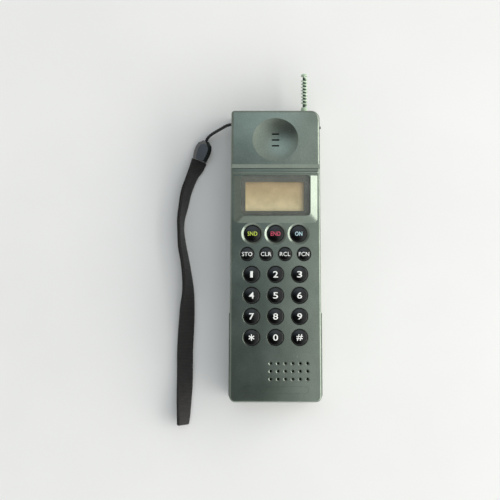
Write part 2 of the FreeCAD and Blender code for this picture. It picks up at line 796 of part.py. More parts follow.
def front_cover():
    slab = case_block(
        "face_slab", (CASE_LOW, CASE_HIGH), ("parting_z", "face_z"), draft=True,
        corners=("corner_bottom", "corner_top_left", "corner_top_right"),
        round_end=("high", "face_edge_round"),
    )
    strip_half = half_width(EAR_LOW, "strip_inset")
    strip = box(
        "groove_floor", (f"-({strip_half})", strip_half),
        (f"{HUMP_HIGH} - overlap", f"{EAR_LOW} + overlap"), ("face_z - overlap", "strip_z"),
    )
    outer = fuse("front_outer", slab, strip, ear_block(), hump(), bead())

    inner_low, inner_high = f"{CASE_LOW} + case_wall", f"{CASE_HIGH} - case_wall"
    room = case_block(
        "front_room", (inner_low, inner_high), ("parting_z - overrun", CEILING_Z), "case_wall",
        corners=("corner_inner", "corner_inner", "corner_top_right - case_wall"),
    )
    hump_room = box(
        "hump_room", ("room_rim - hump_half", "hump_half - room_rim"),
        (f"{WINDOW_Y} - window_height / 2 + room_rim / 2",
         f"{WINDOW_Y} + window_height / 2 - room_rim / 2"),
        (f"{CEILING_Z} - overlap", "hump_z - hump_wall"),
    )
    ear_half = half_width(EAR_LOW, "case_wall + ear_room_side")
    ear_room = box(
        "ear_room", (f"-({ear_half})", ear_half),
        (f"{EAR_LOW} + ear_slope_run + ear_room_low", f"{CASE_HIGH} - case_wall - ear_room_end"),
        (f"{CEILING_Z} - overlap", "ear_ceiling_z"),
    )
    hollow = cut("front_hollow", outer, room, hump_room, ear_room)

    bosses = [
        cylinder(f"front_boss_{index}", "boss_radius", (x, y, "parting_z"),
                 f"{CEILING_Z} - parting_z + overlap")
        for index, (x, y) in enumerate(SCREWS)
    ]
    posts = [
        cylinder(f"front_post_{index}", "post_radius", (x, y, BOARD_TOP),
                 f"{CEILING_Z} - ({BOARD_TOP}) + overlap")
        for index, (x, y) in enumerate(POSTS)
    ]
    ring_z = "ear_ceiling_z - gasket_thick - earpiece_thick + ear_ring_lift"
    ring_bore = "earpiece_radius + key_gap"
    ring = cut(
        "ear_ring",
        cylinder("ear_ring_outer", f"{ring_bore} + ear_ring_wall", ("0", DISH_Y, ring_z),
                 f"ear_ceiling_z - ({ring_z}) + overlap"),
        cylinder("ear_ring_bore", ring_bore, ("0", DISH_Y, f"{ring_z} - overrun"),
                 f"ear_ceiling_z - ({ring_z}) + overrun"),
    )
    filled = fuse("front_filled", hollow, *bosses, *posts, ring)

    # The dish is square to the crown: its centre lies on the line from the crown's own axis.
    reach = "(ear_crest_radius - dish_depth + dish_radius) / ear_crest_radius"
    over = f"({DISH_Y} - {CREST_Y})"
    dish = sphere("ear_dish", "dish_radius", (
        "0", f"{CREST_Y} + {over} * {reach}",
        f"ear_z - ear_crest_radius + (ear_crest_radius ^ 2 - {over} ^ 2) ^ 0.5 * {reach}",
    ))
    slots = [
        box(f"ear_slot_{index}", ("-ear_slot_width / 2", "ear_slot_width / 2"),
            (f"{DISH_Y} + {index - 1} * ear_slot_pitch - ear_slot_height / 2",
             f"{DISH_Y} + {index - 1} * ear_slot_pitch + ear_slot_height / 2"),
            ("ear_ceiling_z - overlap", "ear_z + overrun"))
        for index in range(3)
    ]
    seat_width = f"{WINDOW_WIDTH} / 2 + window_gap"
    seat_height = "window_height / 2 + window_gap"
    seat_z = "hump_z - window_sink - window_thick"
    seat = box(
        "window_seat", (f"-({seat_width})", seat_width),
        (f"{WINDOW_Y} - ({seat_height})", f"{WINDOW_Y} + {seat_height}"),
        (seat_z, "hump_z + overrun"),
    )
    corner = size("window_corner") + size("window_gap")
    seat = fillet("window_seat_round", seat, corner, lambda edge: edge.BoundBox.ZLength > NEARLY)
    opening = block(
        "window_opening", ("0", WINDOW_Y),
        (f"({WINDOW_WIDTH} - 2 * window_ledge)", "(window_height - 2 * window_ledge)"),
        ("hump_z - hump_wall - overlap", "hump_z + overrun"),
    )
    pilots = [
        cylinder(f"front_pilot_{index}", "screw_radius + screw_gap / 2",
                 (x, y, "parting_z - overlap"), "screw_top_z - parting_z + overlap + pilot_spare")
        for index, (x, y) in enumerate(SCREWS)
    ]
    plug_hole = cylinder(
        "plug_hole", "plug_radius + seat_gap",
        (f"{half_width(PLUG_Y)} - plug_depth - overlap", PLUG_Y, "plug_z"),
        "plug_depth + overlap + overrun", "X",
    )
    made = cut(
        "front_cover", filled, dish, *slots, seat, opening, *pilots, *key_openings(),
        *mic_holes(), plain_recess(), plug_hole,
    )
    return node(made, "front_cover")


# Rear cover
def rear_cover():
    head = case_block(
        "back_head", (f"{PACK_HIGH} + pack_gap", CASE_HIGH), (0, "parting_z"), "shell_step",
        corners=("pack_corner", "corner_top_left", "corner_top_right"),
        round_end=("low", "back_edge_round"),
    )
    deck_half = f"{RAIL_INNER} - rail_gap"
    blank = box(
        "back_deck", (f"-({deck_half})", deck_half),
        (f"{CASE_LOW} + deck_end_gap", f"{WALL_IN} + overlap"), (DECK_Z, "parting_z"),
    )
    corner = size("corner_bottom") - size("deck_end_gap")
    deck = fillet("back_deck_round", blank, corner, lambda edge: (
        edge.BoundBox.ZLength > NEARLY and edge.CenterOfMass.y < blank.Shape.BoundBox.Center.y
    ))
    room = case_block(
        "back_room", (WALL_IN, f"{CASE_HIGH} - case_wall"), ("back_wall", "parting_z + overrun"),
        "case_wall + shell_step",
        corners=("corner_inner", "corner_inner", "corner_top_right - case_wall"),
    )
    hollow = cut("back_hollow", fuse("back_outer", head, deck), room)

    bosses = [
        cylinder(f"back_boss_{index}", "back_boss_radius", (x, y, "back_wall - overlap"),
                 "parting_z - back_wall + overlap")
        for index, (x, y) in enumerate(SCREWS[:4])
    ]
    board_posts = [
        cylinder(f"radio_post_{index}", "post_radius", (x, y, "back_wall - overlap"),
                 "radio_z - back_wall + overlap")
        for index, (x, y) in enumerate([
            (f"{RADIO_LEFT} + radio_post_high_left", f"{RADIO_HIGH} - radio_post_inset"),
            (f"{RADIO_RIGHT} - radio_post_inset", f"{RADIO_HIGH} - radio_post_inset"),
            (f"{RADIO_LEFT} + radio_post_low_left", f"{RADIO_LOW} + radio_post_rise"),
            (f"{RADIO_RIGHT} - radio_post_inset", f"{RADIO_LOW} + radio_post_rise"),
            (RADIO_MIDDLE, f"{CAN_Y} - radio_post_drop"),
        ])
    ]
    deck_posts = [
        cylinder(f"deck_post_{index}", "post_radius", (x, y, "parting_z - overlap"),
                 "logic_z - parting_z + overlap")
        for index, (x, y) in enumerate([
            (f"{side} * deck_post_x", y) for side in (-1, 1)
            for y in (f"{PACK_HIGH} - deck_post_high", f"{CASE_LOW} + deck_post_low")
        ])
    ]
    saddles = [
        box(f"tube_saddle_{index}", (f"{ANTENNA_X} - saddle_half", f"{ANTENNA_X} + saddle_half"),
            (f"{y} - saddle_thick / 2", f"{y} + saddle_thick / 2"),
            ("back_wall - overlap", "antenna_z"))
        for index, y in enumerate((
            f"{TUBE_LOW} + saddle_inset", f"({TUBE_LOW} + {TUBE_HIGH}) / 2",
            f"{TUBE_HIGH} - saddle_inset",
        ))
    ]
    strap_block = box(
        "strap_block", (f"case_wall - overlap - {STRAP_WALL_X}", STRAP_BLOCK_RIGHT),
        (STRAP_BLOCK_LOW, f"{CASE_HIGH} - case_wall + overlap"),
        ("strap_z - strap_pocket_rise - strap_bar_hold - strap_pocket_wall",
         "strap_z + strap_pocket_rise + strap_bar_hold + strap_pocket_wall"),
    )
    filled = fuse("back_filled", hollow, *bosses, *board_posts, *deck_posts, *saddles,
                  strap_block)

    counterbores = []
    for index, (x, y) in enumerate(SCREWS):
        upper = index < 4
        seat = "screw_seat_z" if upper else DECK_Z
        counterbores.append(cylinder(
            f"back_counterbore_{index}", "screw_head_radius + screw_gap", (x, y, "-overrun"),
            f"{seat} + screw_head_thick + overrun",
        ))
        counterbores.append(cylinder(
            f"back_screw_hole_{index}", "screw_radius + screw_gap", (x, y, seat),
            f"parting_z - ({seat}) + overrun",
        ))
    tube_way = cylinder(
        "tube_way", "tube_radius + seat_gap", (ANTENNA_X, TUBE_LOW, "antenna_z"),
        f"{CASE_HIGH} - {TUBE_LOW} - case_wall", "Y",
    )
    bushing_way = cylinder(
        "bushing_way", "bushing_radius + seat_gap",
        (ANTENNA_X, f"{CASE_HIGH} - case_wall - overlap", "antenna_z"),
        "case_wall + overlap + overrun", "Y",
    )
    strap_pocket = box(
        "strap_pocket", (f"-overrun - {STRAP_WALL_X}", f"strap_pocket_depth - {STRAP_WALL_X}"),
        (f"{STRAP_Y} - strap_pocket_half", f"{STRAP_Y} + strap_pocket_half"),
        ("strap_z - strap_pocket_rise", "strap_z + strap_pocket_rise"),
    )
    bar_hole = cylinder(
        "strap_bar_hole", "strap_bar_radius + seat_gap / 2",
        (f"strap_bar_inset - {STRAP_WALL_X}", STRAP_Y,
         "strap_z - strap_pocket_rise - strap_bar_hold - seat_gap"),
        "2 * (strap_pocket_rise + strap_bar_hold + seat_gap)",
    )
    ringer_slots = [
        box(f"ringer_slot_{index}",
            ("ringer_x - ringer_slot_length / 2", "ringer_x + ringer_slot_length / 2"),
            (f"{RINGER_Y} + {index - 2} * ringer_slot_pitch - ringer_slot / 2",
             f"{RINGER_Y} + {index - 2} * ringer_slot_pitch + ringer_slot / 2"),
            ("-overrun", "back_wall + overlap"))
        for index in range(5)
    ]
    contact_ways = [
        box(f"contact_way_{index}",
            (f"{index - 1} * contact_pitch - contact_width / 2 - contact_gap",
             f"{index - 1} * contact_pitch + contact_width / 2 + contact_gap"),
            (PACK_HIGH, f"{WALL_IN} + overlap"),
            ("contact_z - contact_half - contact_gap", "contact_z + contact_half + contact_gap"))
        for index in range(3)
    ]
    latch_way = box(
        "latch_way", ("-latch_half - latch_gap", "latch_half + latch_gap"),
        (f"{PACK_HIGH} - overrun", f"{LATCH_ROOT} + latch_gap"),
        ("-overrun", "latch_nose_z + latch_thick + latch_lift + latch_gap"),
    )
    grooves = [
        box(f"rail_groove_{index}", span,
            (f"{CASE_LOW} - overrun", f"{PACK_HIGH} - rail_groove_high"),
            ("rail_tongue_z - pack_slide_gap",
             "rail_tongue_z + rail_tongue_thick + pack_slide_gap"))
        for index, span in enumerate((
            (f"{RAIL_INNER} - rail_tongue - pack_slide_gap", f"{RAIL_INNER} + overrun"),
            (f"-{RAIL_INNER} - overrun", f"rail_tongue + pack_slide_gap - {RAIL_INNER}"),
        ))
    ]
    made = cut(
        "rear_cover", filled, *counterbores, tube_way, bushing_way, strap_pocket, bar_hole,
        *ringer_slots, *contact_ways, latch_way, *grooves,
    )
    return node(made, "rear_cover")


def case_screws():
    made = []
    for index, (x, y) in enumerate(SCREWS):
        seat = "screw_seat_z" if index < 4 else DECK_Z
        head = cylinder(f"screw_head_{index}", "screw_head_radius", (x, y, seat),
                        "screw_head_thick")
        shank = cylinder(f"screw_shank_{index}", "screw_radius", (x, y, f"{seat} + overlap"),
                         f"screw_top_z - ({seat}) - overlap")
        depth = (f"{seat} - overrun", f"{seat} + drive_depth")
        drive = block(f"screw_drive_{index}", (x, y), ("drive_width", "drive_length"), depth)
        cross = block(f"screw_cross_{index}", (x, y), ("drive_length", "drive_width"), depth)
        made.append(cut(f"screw_{index}", fuse(f"screw_solid_{index}", head, shank), drive, cross))
    return node(group("case_screws", *made), "case_screws")


# Display
def display():
    seat_z = "hump_z - window_sink - window_thick"
    window = block("window_blank", ("0", WINDOW_Y), (WINDOW_WIDTH, "window_height"),
                   (seat_z, f"{seat_z} + window_thick"))
    window = fillet("window_plate", window, size("window_corner"),
                    lambda edge: edge.BoundBox.ZLength > NEARLY)
    node(window, "display_window")

    top = "hump_z - hump_wall - frame_gap"
    centre = ("0", WINDOW_Y)
    glass_top = f"{top} - frame_lip"
    frame = cut(
        "display_frame",
        block("frame_blank", centre,
              (f"({GLASS_WIDTH} + 2 * frame_rim)", f"({GLASS_HEIGHT} + 2 * frame_rim)"),
              (BOARD_TOP, top)),
        block("frame_room", centre,
              (f"({GLASS_WIDTH} + 2 * frame_gap)", f"({GLASS_HEIGHT} + 2 * frame_gap)"),
              (f"{BOARD_TOP} - overrun", glass_top)),
        block("frame_view", ("view_x", f"({WINDOW_Y} - view_drop)"),
              (f"({GLASS_WIDTH} - 2 * view_margin)", f"({GLASS_HEIGHT} - 2 * view_margin)"),
              (f"{glass_top} - overrun", f"{top} + overrun")),
    )
    node(frame, "display_frame")

    glass_low = f"{glass_top} - glass_thick"
    node(block("display_glass", centre, (GLASS_WIDTH, GLASS_HEIGHT), (glass_low, glass_top)),
         "display_glass")
    light_height = f"({GLASS_HEIGHT} - 2 * (strip_edge + strip_width + light_gap))"
    node(block("display_light", centre, (f"({GLASS_WIDTH} - 2 * light_inset)", light_height),
               (BOARD_TOP, glass_low)), "display_light")
    strip_y = f"({GLASS_HEIGHT} / 2 - strip_edge - strip_width / 2)"
    strips = [
        block(f"display_strip_{index}", ("0", f"({WINDOW_Y} + {side} * {strip_y})"),
              (f"({GLASS_WIDTH} - 3 * light_inset)", "strip_width"), (BOARD_TOP, glass_low))
        for index, side in enumerate((-1, 1))
    ]
    node(group("display_strips", *strips), "display_strips")


# Keys: a crowned cap and a flange that stays behind the face
def key(name, cap, x, y):
    sink = "large_sink" if cap == "large_cap" else "-key_rise"
    crown_z = f"face_z - ({sink})"
    shaft = cylinder(name + "_shaft", cap, (x, y, FLANGE_LOW),
                     f"{crown_z} - ({FLANGE_LOW}) + overrun")
    ball = sphere(name + "_ball", "key_crown", (x, y, f"{crown_z} - key_crown"))
    top = common(name + "_cap", shaft, ball)
    flange = cylinder(name + "_flange", f"{cap} + key_gap + key_flange", (x, y, FLANGE_LOW),
                      "key_flange_thick")
    whole = fuse(name + "_solid", top, flange)
    level = size("face_z") - size("key_flange_gap") - size("face_wall")
    rounded = fillet(name, whole, size("key_round"), lambda edge: (
        edge.BoundBox.ZMin > level + NEARLY and isinstance(edge.Curve, Part.Circle)
        and edge.BoundBox.XLength > size(cap)
    ))
    return node(rounded, name)


def keypad_mat():
    """Rubber mat with one dome under each key and holes for the posts of the cover."""
    sheet = box(
        "mat_sheet", ("-number_pitch_x - mat_margin", "number_pitch_x + mat_margin"),
        (f"{LAST_ROW_Y} - mat_margin", f"{LARGE_Y} + mat_margin"),
        (BOARD_TOP, f"{BOARD_TOP} + mat_thick"),
    )
    domes = []
    for name, cap, x, y in key_places():
        narrow = cap == "small_cap"
        shrink = "dome_shrink" if narrow else "0"
        domes.append(cone(
            name + "_dome", f"dome_base - {shrink}", f"dome_top - {shrink}",
            (x, y, f"{BOARD_TOP} + mat_thick - overlap"),
            f"{FLANGE_LOW} - ({BOARD_TOP}) - mat_thick + overlap",
        ))
    mat_low, mat_through = f"{BOARD_TOP} - overrun", "mat_thick + 2 * overrun"
    holes = [
        cylinder(f"mat_hole_{index}", "post_radius + post_gap", (x, y, mat_low), mat_through)
        for index, (x, y) in enumerate(POSTS)
    ]
    holes += [
        cylinder(f"mat_notch_{index}", "boss_radius + post_gap", (x, y, mat_low), mat_through)
        for index, (x, y) in enumerate(SCREWS[2:4])
    ]
    holes.append(cylinder(
        "mat_boot_notch", "microphone_radius + boot_wall + post_gap",
        ("mic_x", "mic_y", mat_low), mat_through,
    ))
    return node(cut("keypad_mat", fuse("mat_solid", sheet, *domes), *holes), "keypad_mat")


# Boards and what they carry
def boards():
    boss_room = [
        cylinder(f"logic_notch_{index}", "boss_radius + board_gap", (x, y, "logic_z - overrun"),
                 "board_thick + 2 * overrun")
        for index, (x, y) in enumerate(SCREWS[2:])
    ]
    logic = box(
        "logic_blank", (f"-{LOGIC_HALF}", LOGIC_HALF),
        (f"{CASE_LOW} + case_wall + logic_end_gap", LOGIC_HIGH), ("logic_z", BOARD_TOP),
    )
    node(cut("logic_board", logic, *boss_room), "logic_board")

    chips = [
        block(f"logic_chip_{index}", (x, y), (width, length), ("logic_z - chip_height", "logic_z"))
        for index, (x, y, width, length) in enumerate([
            ("0", LAST_ROW_Y, "processor_side", "processor_side"),
            ("(-0.6 * number_pitch_x)", f"({LAST_ROW_Y} - chip_drop)", "memory_width", "memory_length"),
            ("(0.6 * number_pitch_x)", f"({LAST_ROW_Y} - chip_drop)", "sound_width", "sound_length"),
            ("(-0.8 * number_pitch_x)", NUMBER_Y, "driver_width", "driver_length"),
            ("(0.85 * number_pitch_x)", NUMBER_Y, "clock_width", "driver_length"),
        ])
    ]
    node(group("logic_chips", *chips), "logic_chips")

    radio = box("radio_blank", (RADIO_LEFT, RADIO_RIGHT), (RADIO_LOW, RADIO_HIGH),
                ("radio_z", RADIO_TOP))
    notches = [
        cylinder(f"radio_notch_{index}", "back_boss_radius + board_gap",
                 (x, y, "radio_z - overrun"), "board_thick + 2 * overrun")
        for index, (x, y) in enumerate(SCREWS[:4])
    ]
    notches.append(box(
        "radio_corner", (f"{RADIO_LEFT} - overrun", f"back_boss_radius + board_gap - {SCREW_X}"),
        (f"{RADIO_LOW} - overrun", SCREW_MID_Y), ("radio_z - overrun", f"{RADIO_TOP} + overrun"),
    ))
    notches.append(box(
        "radio_strap_corner",
        (f"{RADIO_LEFT} - overrun", f"{STRAP_BLOCK_RIGHT} + board_gap"),
        (f"{STRAP_BLOCK_LOW} - board_gap", f"{RADIO_HIGH} + overrun"),
        ("radio_z - overrun", f"{RADIO_TOP} + overrun"),
    ))
    node(cut("radio_board", radio, *notches), "radio_board")

    centre = (RADIO_MIDDLE, CAN_Y)
    can_top = f"{RADIO_TOP} + can_height"
    shell = cut(
        "shield_can",
        block("can_outer", centre, ("can_width", "can_length"), (RADIO_TOP, can_top)),
        block("can_inner", centre, ("(can_width - 2 * can_wall)", "(can_length - 2 * can_wall)"),
              (f"{RADIO_TOP} - overrun", f"{can_top} - can_wall")),
    )
    node(shell, "shield_can")
    radio_chips = [
        block(f"radio_chip_{index}", (f"({RADIO_MIDDLE} + {x})", f"({CAN_Y} + {y})"), (width, length),
              (RADIO_TOP, f"{RADIO_TOP} + {tall}"))
        for index, (x, y, width, length, tall) in enumerate([
            ("0", "mixer_rise", "mixer_side", "mixer_side", "mixer_height"),
            ("filter_x", "-filter_drop", "filter_width", "filter_length", "filter_height"),
            ("tuner_x", "-filter_drop", "tuner_width", "tuner_length", "tuner_height"),
        ])
    ]
    node(group("radio_chips", *radio_chips), "radio_chips")

    duplexer = block("duplexer_blank", (RADIO_MIDDLE, DUPLEXER_Y),
                     ("duplexer_width", "duplexer_length"),
                     (RADIO_TOP, f"{RADIO_TOP} + duplexer_height"))
    wells = [
        cylinder(f"duplexer_well_{index}", "duplexer_well",
                 (f"{RADIO_MIDDLE} + {index - 2} * duplexer_pitch", DUPLEXER_Y,
                  f"{RADIO_TOP} + duplexer_floor"), "duplexer_height")
        for index in range(5)
    ]
    node(cut("duplexer", duplexer, *wells), "duplexer")

    node(block("power_amplifier", (RADIO_MIDDLE, AMPLIFIER_Y),
               ("amplifier_width", "amplifier_length"),
               (RADIO_TOP, f"{RADIO_TOP} + amplifier_height")), "power_amplifier")
    node(block("board_header", (RADIO_MIDDLE, HEADER_Y), ("header_width", "header_length"),
               (RADIO_TOP, "logic_z")), "board_header")


def sound_parts():
    speaker_z = "ear_ceiling_z - gasket_thick - earpiece_thick"
    speaker = cut(
        "earpiece",
        cylinder("earpiece_can", "earpiece_radius", ("0", DISH_Y, speaker_z), "earpiece_thick"),
        cone("earpiece_hollow", "earpiece_radius - gasket_width",
             "earpiece_radius - gasket_width / 2",
             ("0", DISH_Y, "ear_ceiling_z - gasket_thick - earpiece_dip"), "earpiece_dip + overlap"),
    )
    node(speaker, "earpiece")
    gasket_z = "ear_ceiling_z - gasket_thick"
    gasket = cut(
        "earpiece_gasket",
        cylinder("gasket_outer", "earpiece_radius - seat_gap", ("0", DISH_Y, gasket_z),
                 "gasket_thick"),
        cylinder("gasket_bore", "earpiece_radius - gasket_width / 2",
                 ("0", DISH_Y, f"{gasket_z} - overrun"), "gasket_thick + 2 * overrun"),
    )
    node(gasket, "earpiece_gasket")

    boot = cut(
        "microphone_boot",
        cylinder("boot_outer", "microphone_radius + boot_wall", ("mic_x", "mic_y", BOARD_TOP),
                 f"{CEILING_Z} - ({BOARD_TOP})"),
        cylinder("boot_bore", "microphone_radius + seat_gap",
                 ("mic_x", "mic_y", f"{BOARD_TOP} - overrun"), "microphone_thick + overrun"),
        cylinder("boot_mouth", "microphone_radius - boot_lip", ("mic_x", "mic_y", BOARD_TOP),
                 f"{CEILING_Z} - ({BOARD_TOP}) + overrun"),
    )
    node(boot, "microphone_boot")
    node(cylinder("microphone", "microphone_radius", ("mic_x", "mic_y", BOARD_TOP),
                  "microphone_thick"), "microphone")
    ringer = cut(
        "ringer",
        cylinder("ringer_can", "ringer_radius", ("ringer_x", RINGER_Y, "back_wall"),
                 "ringer_thick"),
        cylinder("ringer_mouth", "ringer_mouth", ("ringer_x", RINGER_Y, "back_wall - overrun"),
                 "ringer_mouth_depth + overrun"),
    )
    node(ringer, "ringer")


# Antenna
def biarc(start, start_way, end, end_way):
    """Two tangent arcs from one point and direction to another."""
    chord = end - start
    ways = start_way + end_way
    lean = 2 * (1 - start_way.dot(end_way))
    along = chord.dot(ways)
    reach = (-along + math.sqrt(along ** 2 + lean * chord.dot(chord))) / lean
    first_corner, second_corner = start + start_way * reach, end - end_way * reach
    middle = (first_corner + second_corner) * 0.5
    arcs = []
    for near, corner, far in ((start, first_corner, middle), (middle, second_corner, end)):
        half = ((near + far) * 0.5 - corner).normalize()
        leg = (near - corner).Length
        turn = math.acos(max(-1, min(1, (near - corner).normalize().dot(half))))
        radius = leg * math.tan(turn)
        apex = corner + half * (radius / math.sin(turn) - radius) if turn > 1e-6 else corner
        arcs.append(Part.Arc(near, apex, far).toShape())
    return arcs


# The wire of a coil rises by this share of the helix's radius as it turns to run along the axis.
LEAD_SHARE = 0.6


def coil_path(base, turns, radius, pitch, straight):
    """Helix about +Y from a base point, its ends brought round to run along the axis.

    Each end rises by a share of the helix's own radius in its last quarter turn.
    """
    def on_helix(part):
        angle = math.tau * part
        point = base + FreeCAD.Vector(radius * math.cos(angle), pitch * part, radius * math.sin(angle))
        way = FreeCAD.Vector(
            -math.tau * radius * math.sin(angle), pitch, math.tau * radius * math.cos(angle)
        )
        return point, way.normalize()

    up = FreeCAD.Vector(0, 1, 0)
    quarters = int(turns * 4)
    stations = [on_helix(index / 4) for index in range(quarters + 1)]
    lead = LEAD_SHARE * radius
    first = base + FreeCAD.Vector(0, -lead, -radius)
    last_angle = math.tau * (quarters + 1) / 4
    last = base + FreeCAD.Vector(
        radius * math.cos(last_angle), pitch * quarters / 4 + lead, radius * math.sin(last_angle)
    )
    stations = [(first, up)] + stations + [(last, up)]
    edges = [Part.LineSegment(first - up * straight, first).toShape()]
    for (start, start_way), (end, end_way) in zip(stations, stations[1:]):
        edges += biarc(start, start_way, end, end_way)
    edges.append(Part.LineSegment(last, last + up * straight).toShape())
    return Part.Wire(edges)


def least_gap(path, wire, steps_per_wire=8, near=2.5):
    """Least distance between turns of a tube, measured on points along its path.

    Points less than near wires apart along the path are the same turn, and aren't compared.
    """
    count = int(path.Length * steps_per_wire / wire)
    points = path.discretize(Number=count)
    apart = int(near * steps_per_wire)
    nearest = min(
        (points[first] - points[second]).Length
        for first in range(count) for second in range(first + apart, count)
    )
    return nearest - wire


def antenna():
    x, z = ANTENNA_X, "antenna_z"
    top = f"{CASE_HIGH} + bushing_flange_thick"
    bushing = cut(
        "antenna_bushing",
        fuse(
            "bushing_solid",
            cylinder("bushing_barrel", "bushing_radius",
                     (x, TUBE_HIGH, z), "bushing_length", "Y"),
            cylinder("bushing_rim", "bushing_flange", (x, CASE_HIGH, z),
                     "bushing_flange_thick", "Y"),
        ),
        cylinder("bushing_hole", "bushing_bore",
                 (x, f"{TUBE_HIGH} - overrun", z), "bushing_length + 2 * overrun", "Y"),
    )
    node(bushing, "antenna_bushing")
    tube = cut(
        "antenna_tube",
        cylinder("tube_outer", "tube_radius", (x, TUBE_LOW, z),
                 f"{TUBE_HIGH} - {TUBE_LOW}", "Y"),
        cylinder("tube_inner", "tube_bore", (x, f"{TUBE_LOW} - overrun", z),
                 f"{TUBE_HIGH} - {TUBE_LOW} + 2 * overrun", "Y"),
    )
    node(tube, "antenna_tube")
    contact = box(
        "antenna_contact",
        (f"{RADIO_RIGHT} - antenna_contact_foot", f"{ANTENNA_X} - bushing_radius"),
        (f"{TUBE_HIGH} + antenna_contact_gap",
         f"{TUBE_HIGH} + antenna_contact_gap + antenna_contact_thick"),
        (RADIO_TOP, "antenna_z"),
    )
    node(contact, "antenna_contact")

    ferrule_low = f"{top} + ferrule_gap"
    rod = fuse(
        "antenna_rod",
        cylinder("rod_length", "rod_radius", (x, "rod_low", z), f"{ferrule_low} - rod_low", "Y"),
        cylinder("rod_stop", "rod_stop_radius", (x, "rod_low", z), "rod_stop_length", "Y"),
    )
    node(rod, "antenna_rod")
    ferrule = cylinder("ferrule_blank", "ferrule_radius", (x, ferrule_low, z), "ferrule_length", "Y")
    ferrule = fillet("ferrule", ferrule, size("ferrule_round"),
                     lambda edge: isinstance(edge.Curve, Part.Circle))
    node(ferrule, "antenna_ferrule")

    low = (size("case_length") / 2 + size("bushing_flange_thick") + size("ferrule_gap")
           + size("ferrule_length"))
    wire, radius, pitch = size("coil_wire"), size("coil_radius"), size("coil_pitch")
    turns = math.floor(size("coil_turns") * 4) / 4
    middle = size("case_half_mid") - size("antenna_inset")
    base = FreeCAD.Vector(middle, low + wire + LEAD_SHARE * radius, size("antenna_z"))
    path = coil_path(base, turns, radius, pitch, wire)
    ring = Part.Wire(Part.Circle(path.Vertexes[0].Point, FreeCAD.Vector(0, 1, 0), wire / 2).toShape())
    shell = Part.BRepOffsetAPI.MakePipeShell(path)
    shell.add(ring)
    shell.build()
    shell.makeSolid()
    coil = DOC.addObject("Part::Feature", "antenna_coil")
    coil.Shape = shell.shape()
    node(coil, "antenna_coil")
    print("antenna coil gap to itself", round(least_gap(path, wire), 3), "volume ratio",
          round(coil.Shape.Volume / (math.pi * wire ** 2 / 4 * path.Length), 4))

    coil_length = path.BoundBox.YLength
    core_low = f"{ferrule_low} + ferrule_length"
    core = fuse(
        "core_solid",
        cylinder("core_stem", "coil_core_radius", (x, core_low, z), f"{coil_length} + overlap", "Y"),
        cylinder("core_cap", "ferrule_radius", (x, f"{core_low} + {coil_length}", z),
                 "coil_cap_length", "Y"),
    )
    level = low + coil_length + size("coil_cap_length") - NEARLY
    core = fillet("antenna_core", core, size("coil_cap_round"),
                  lambda edge: edge.BoundBox.YMin > level)
    node(core, "antenna_core")


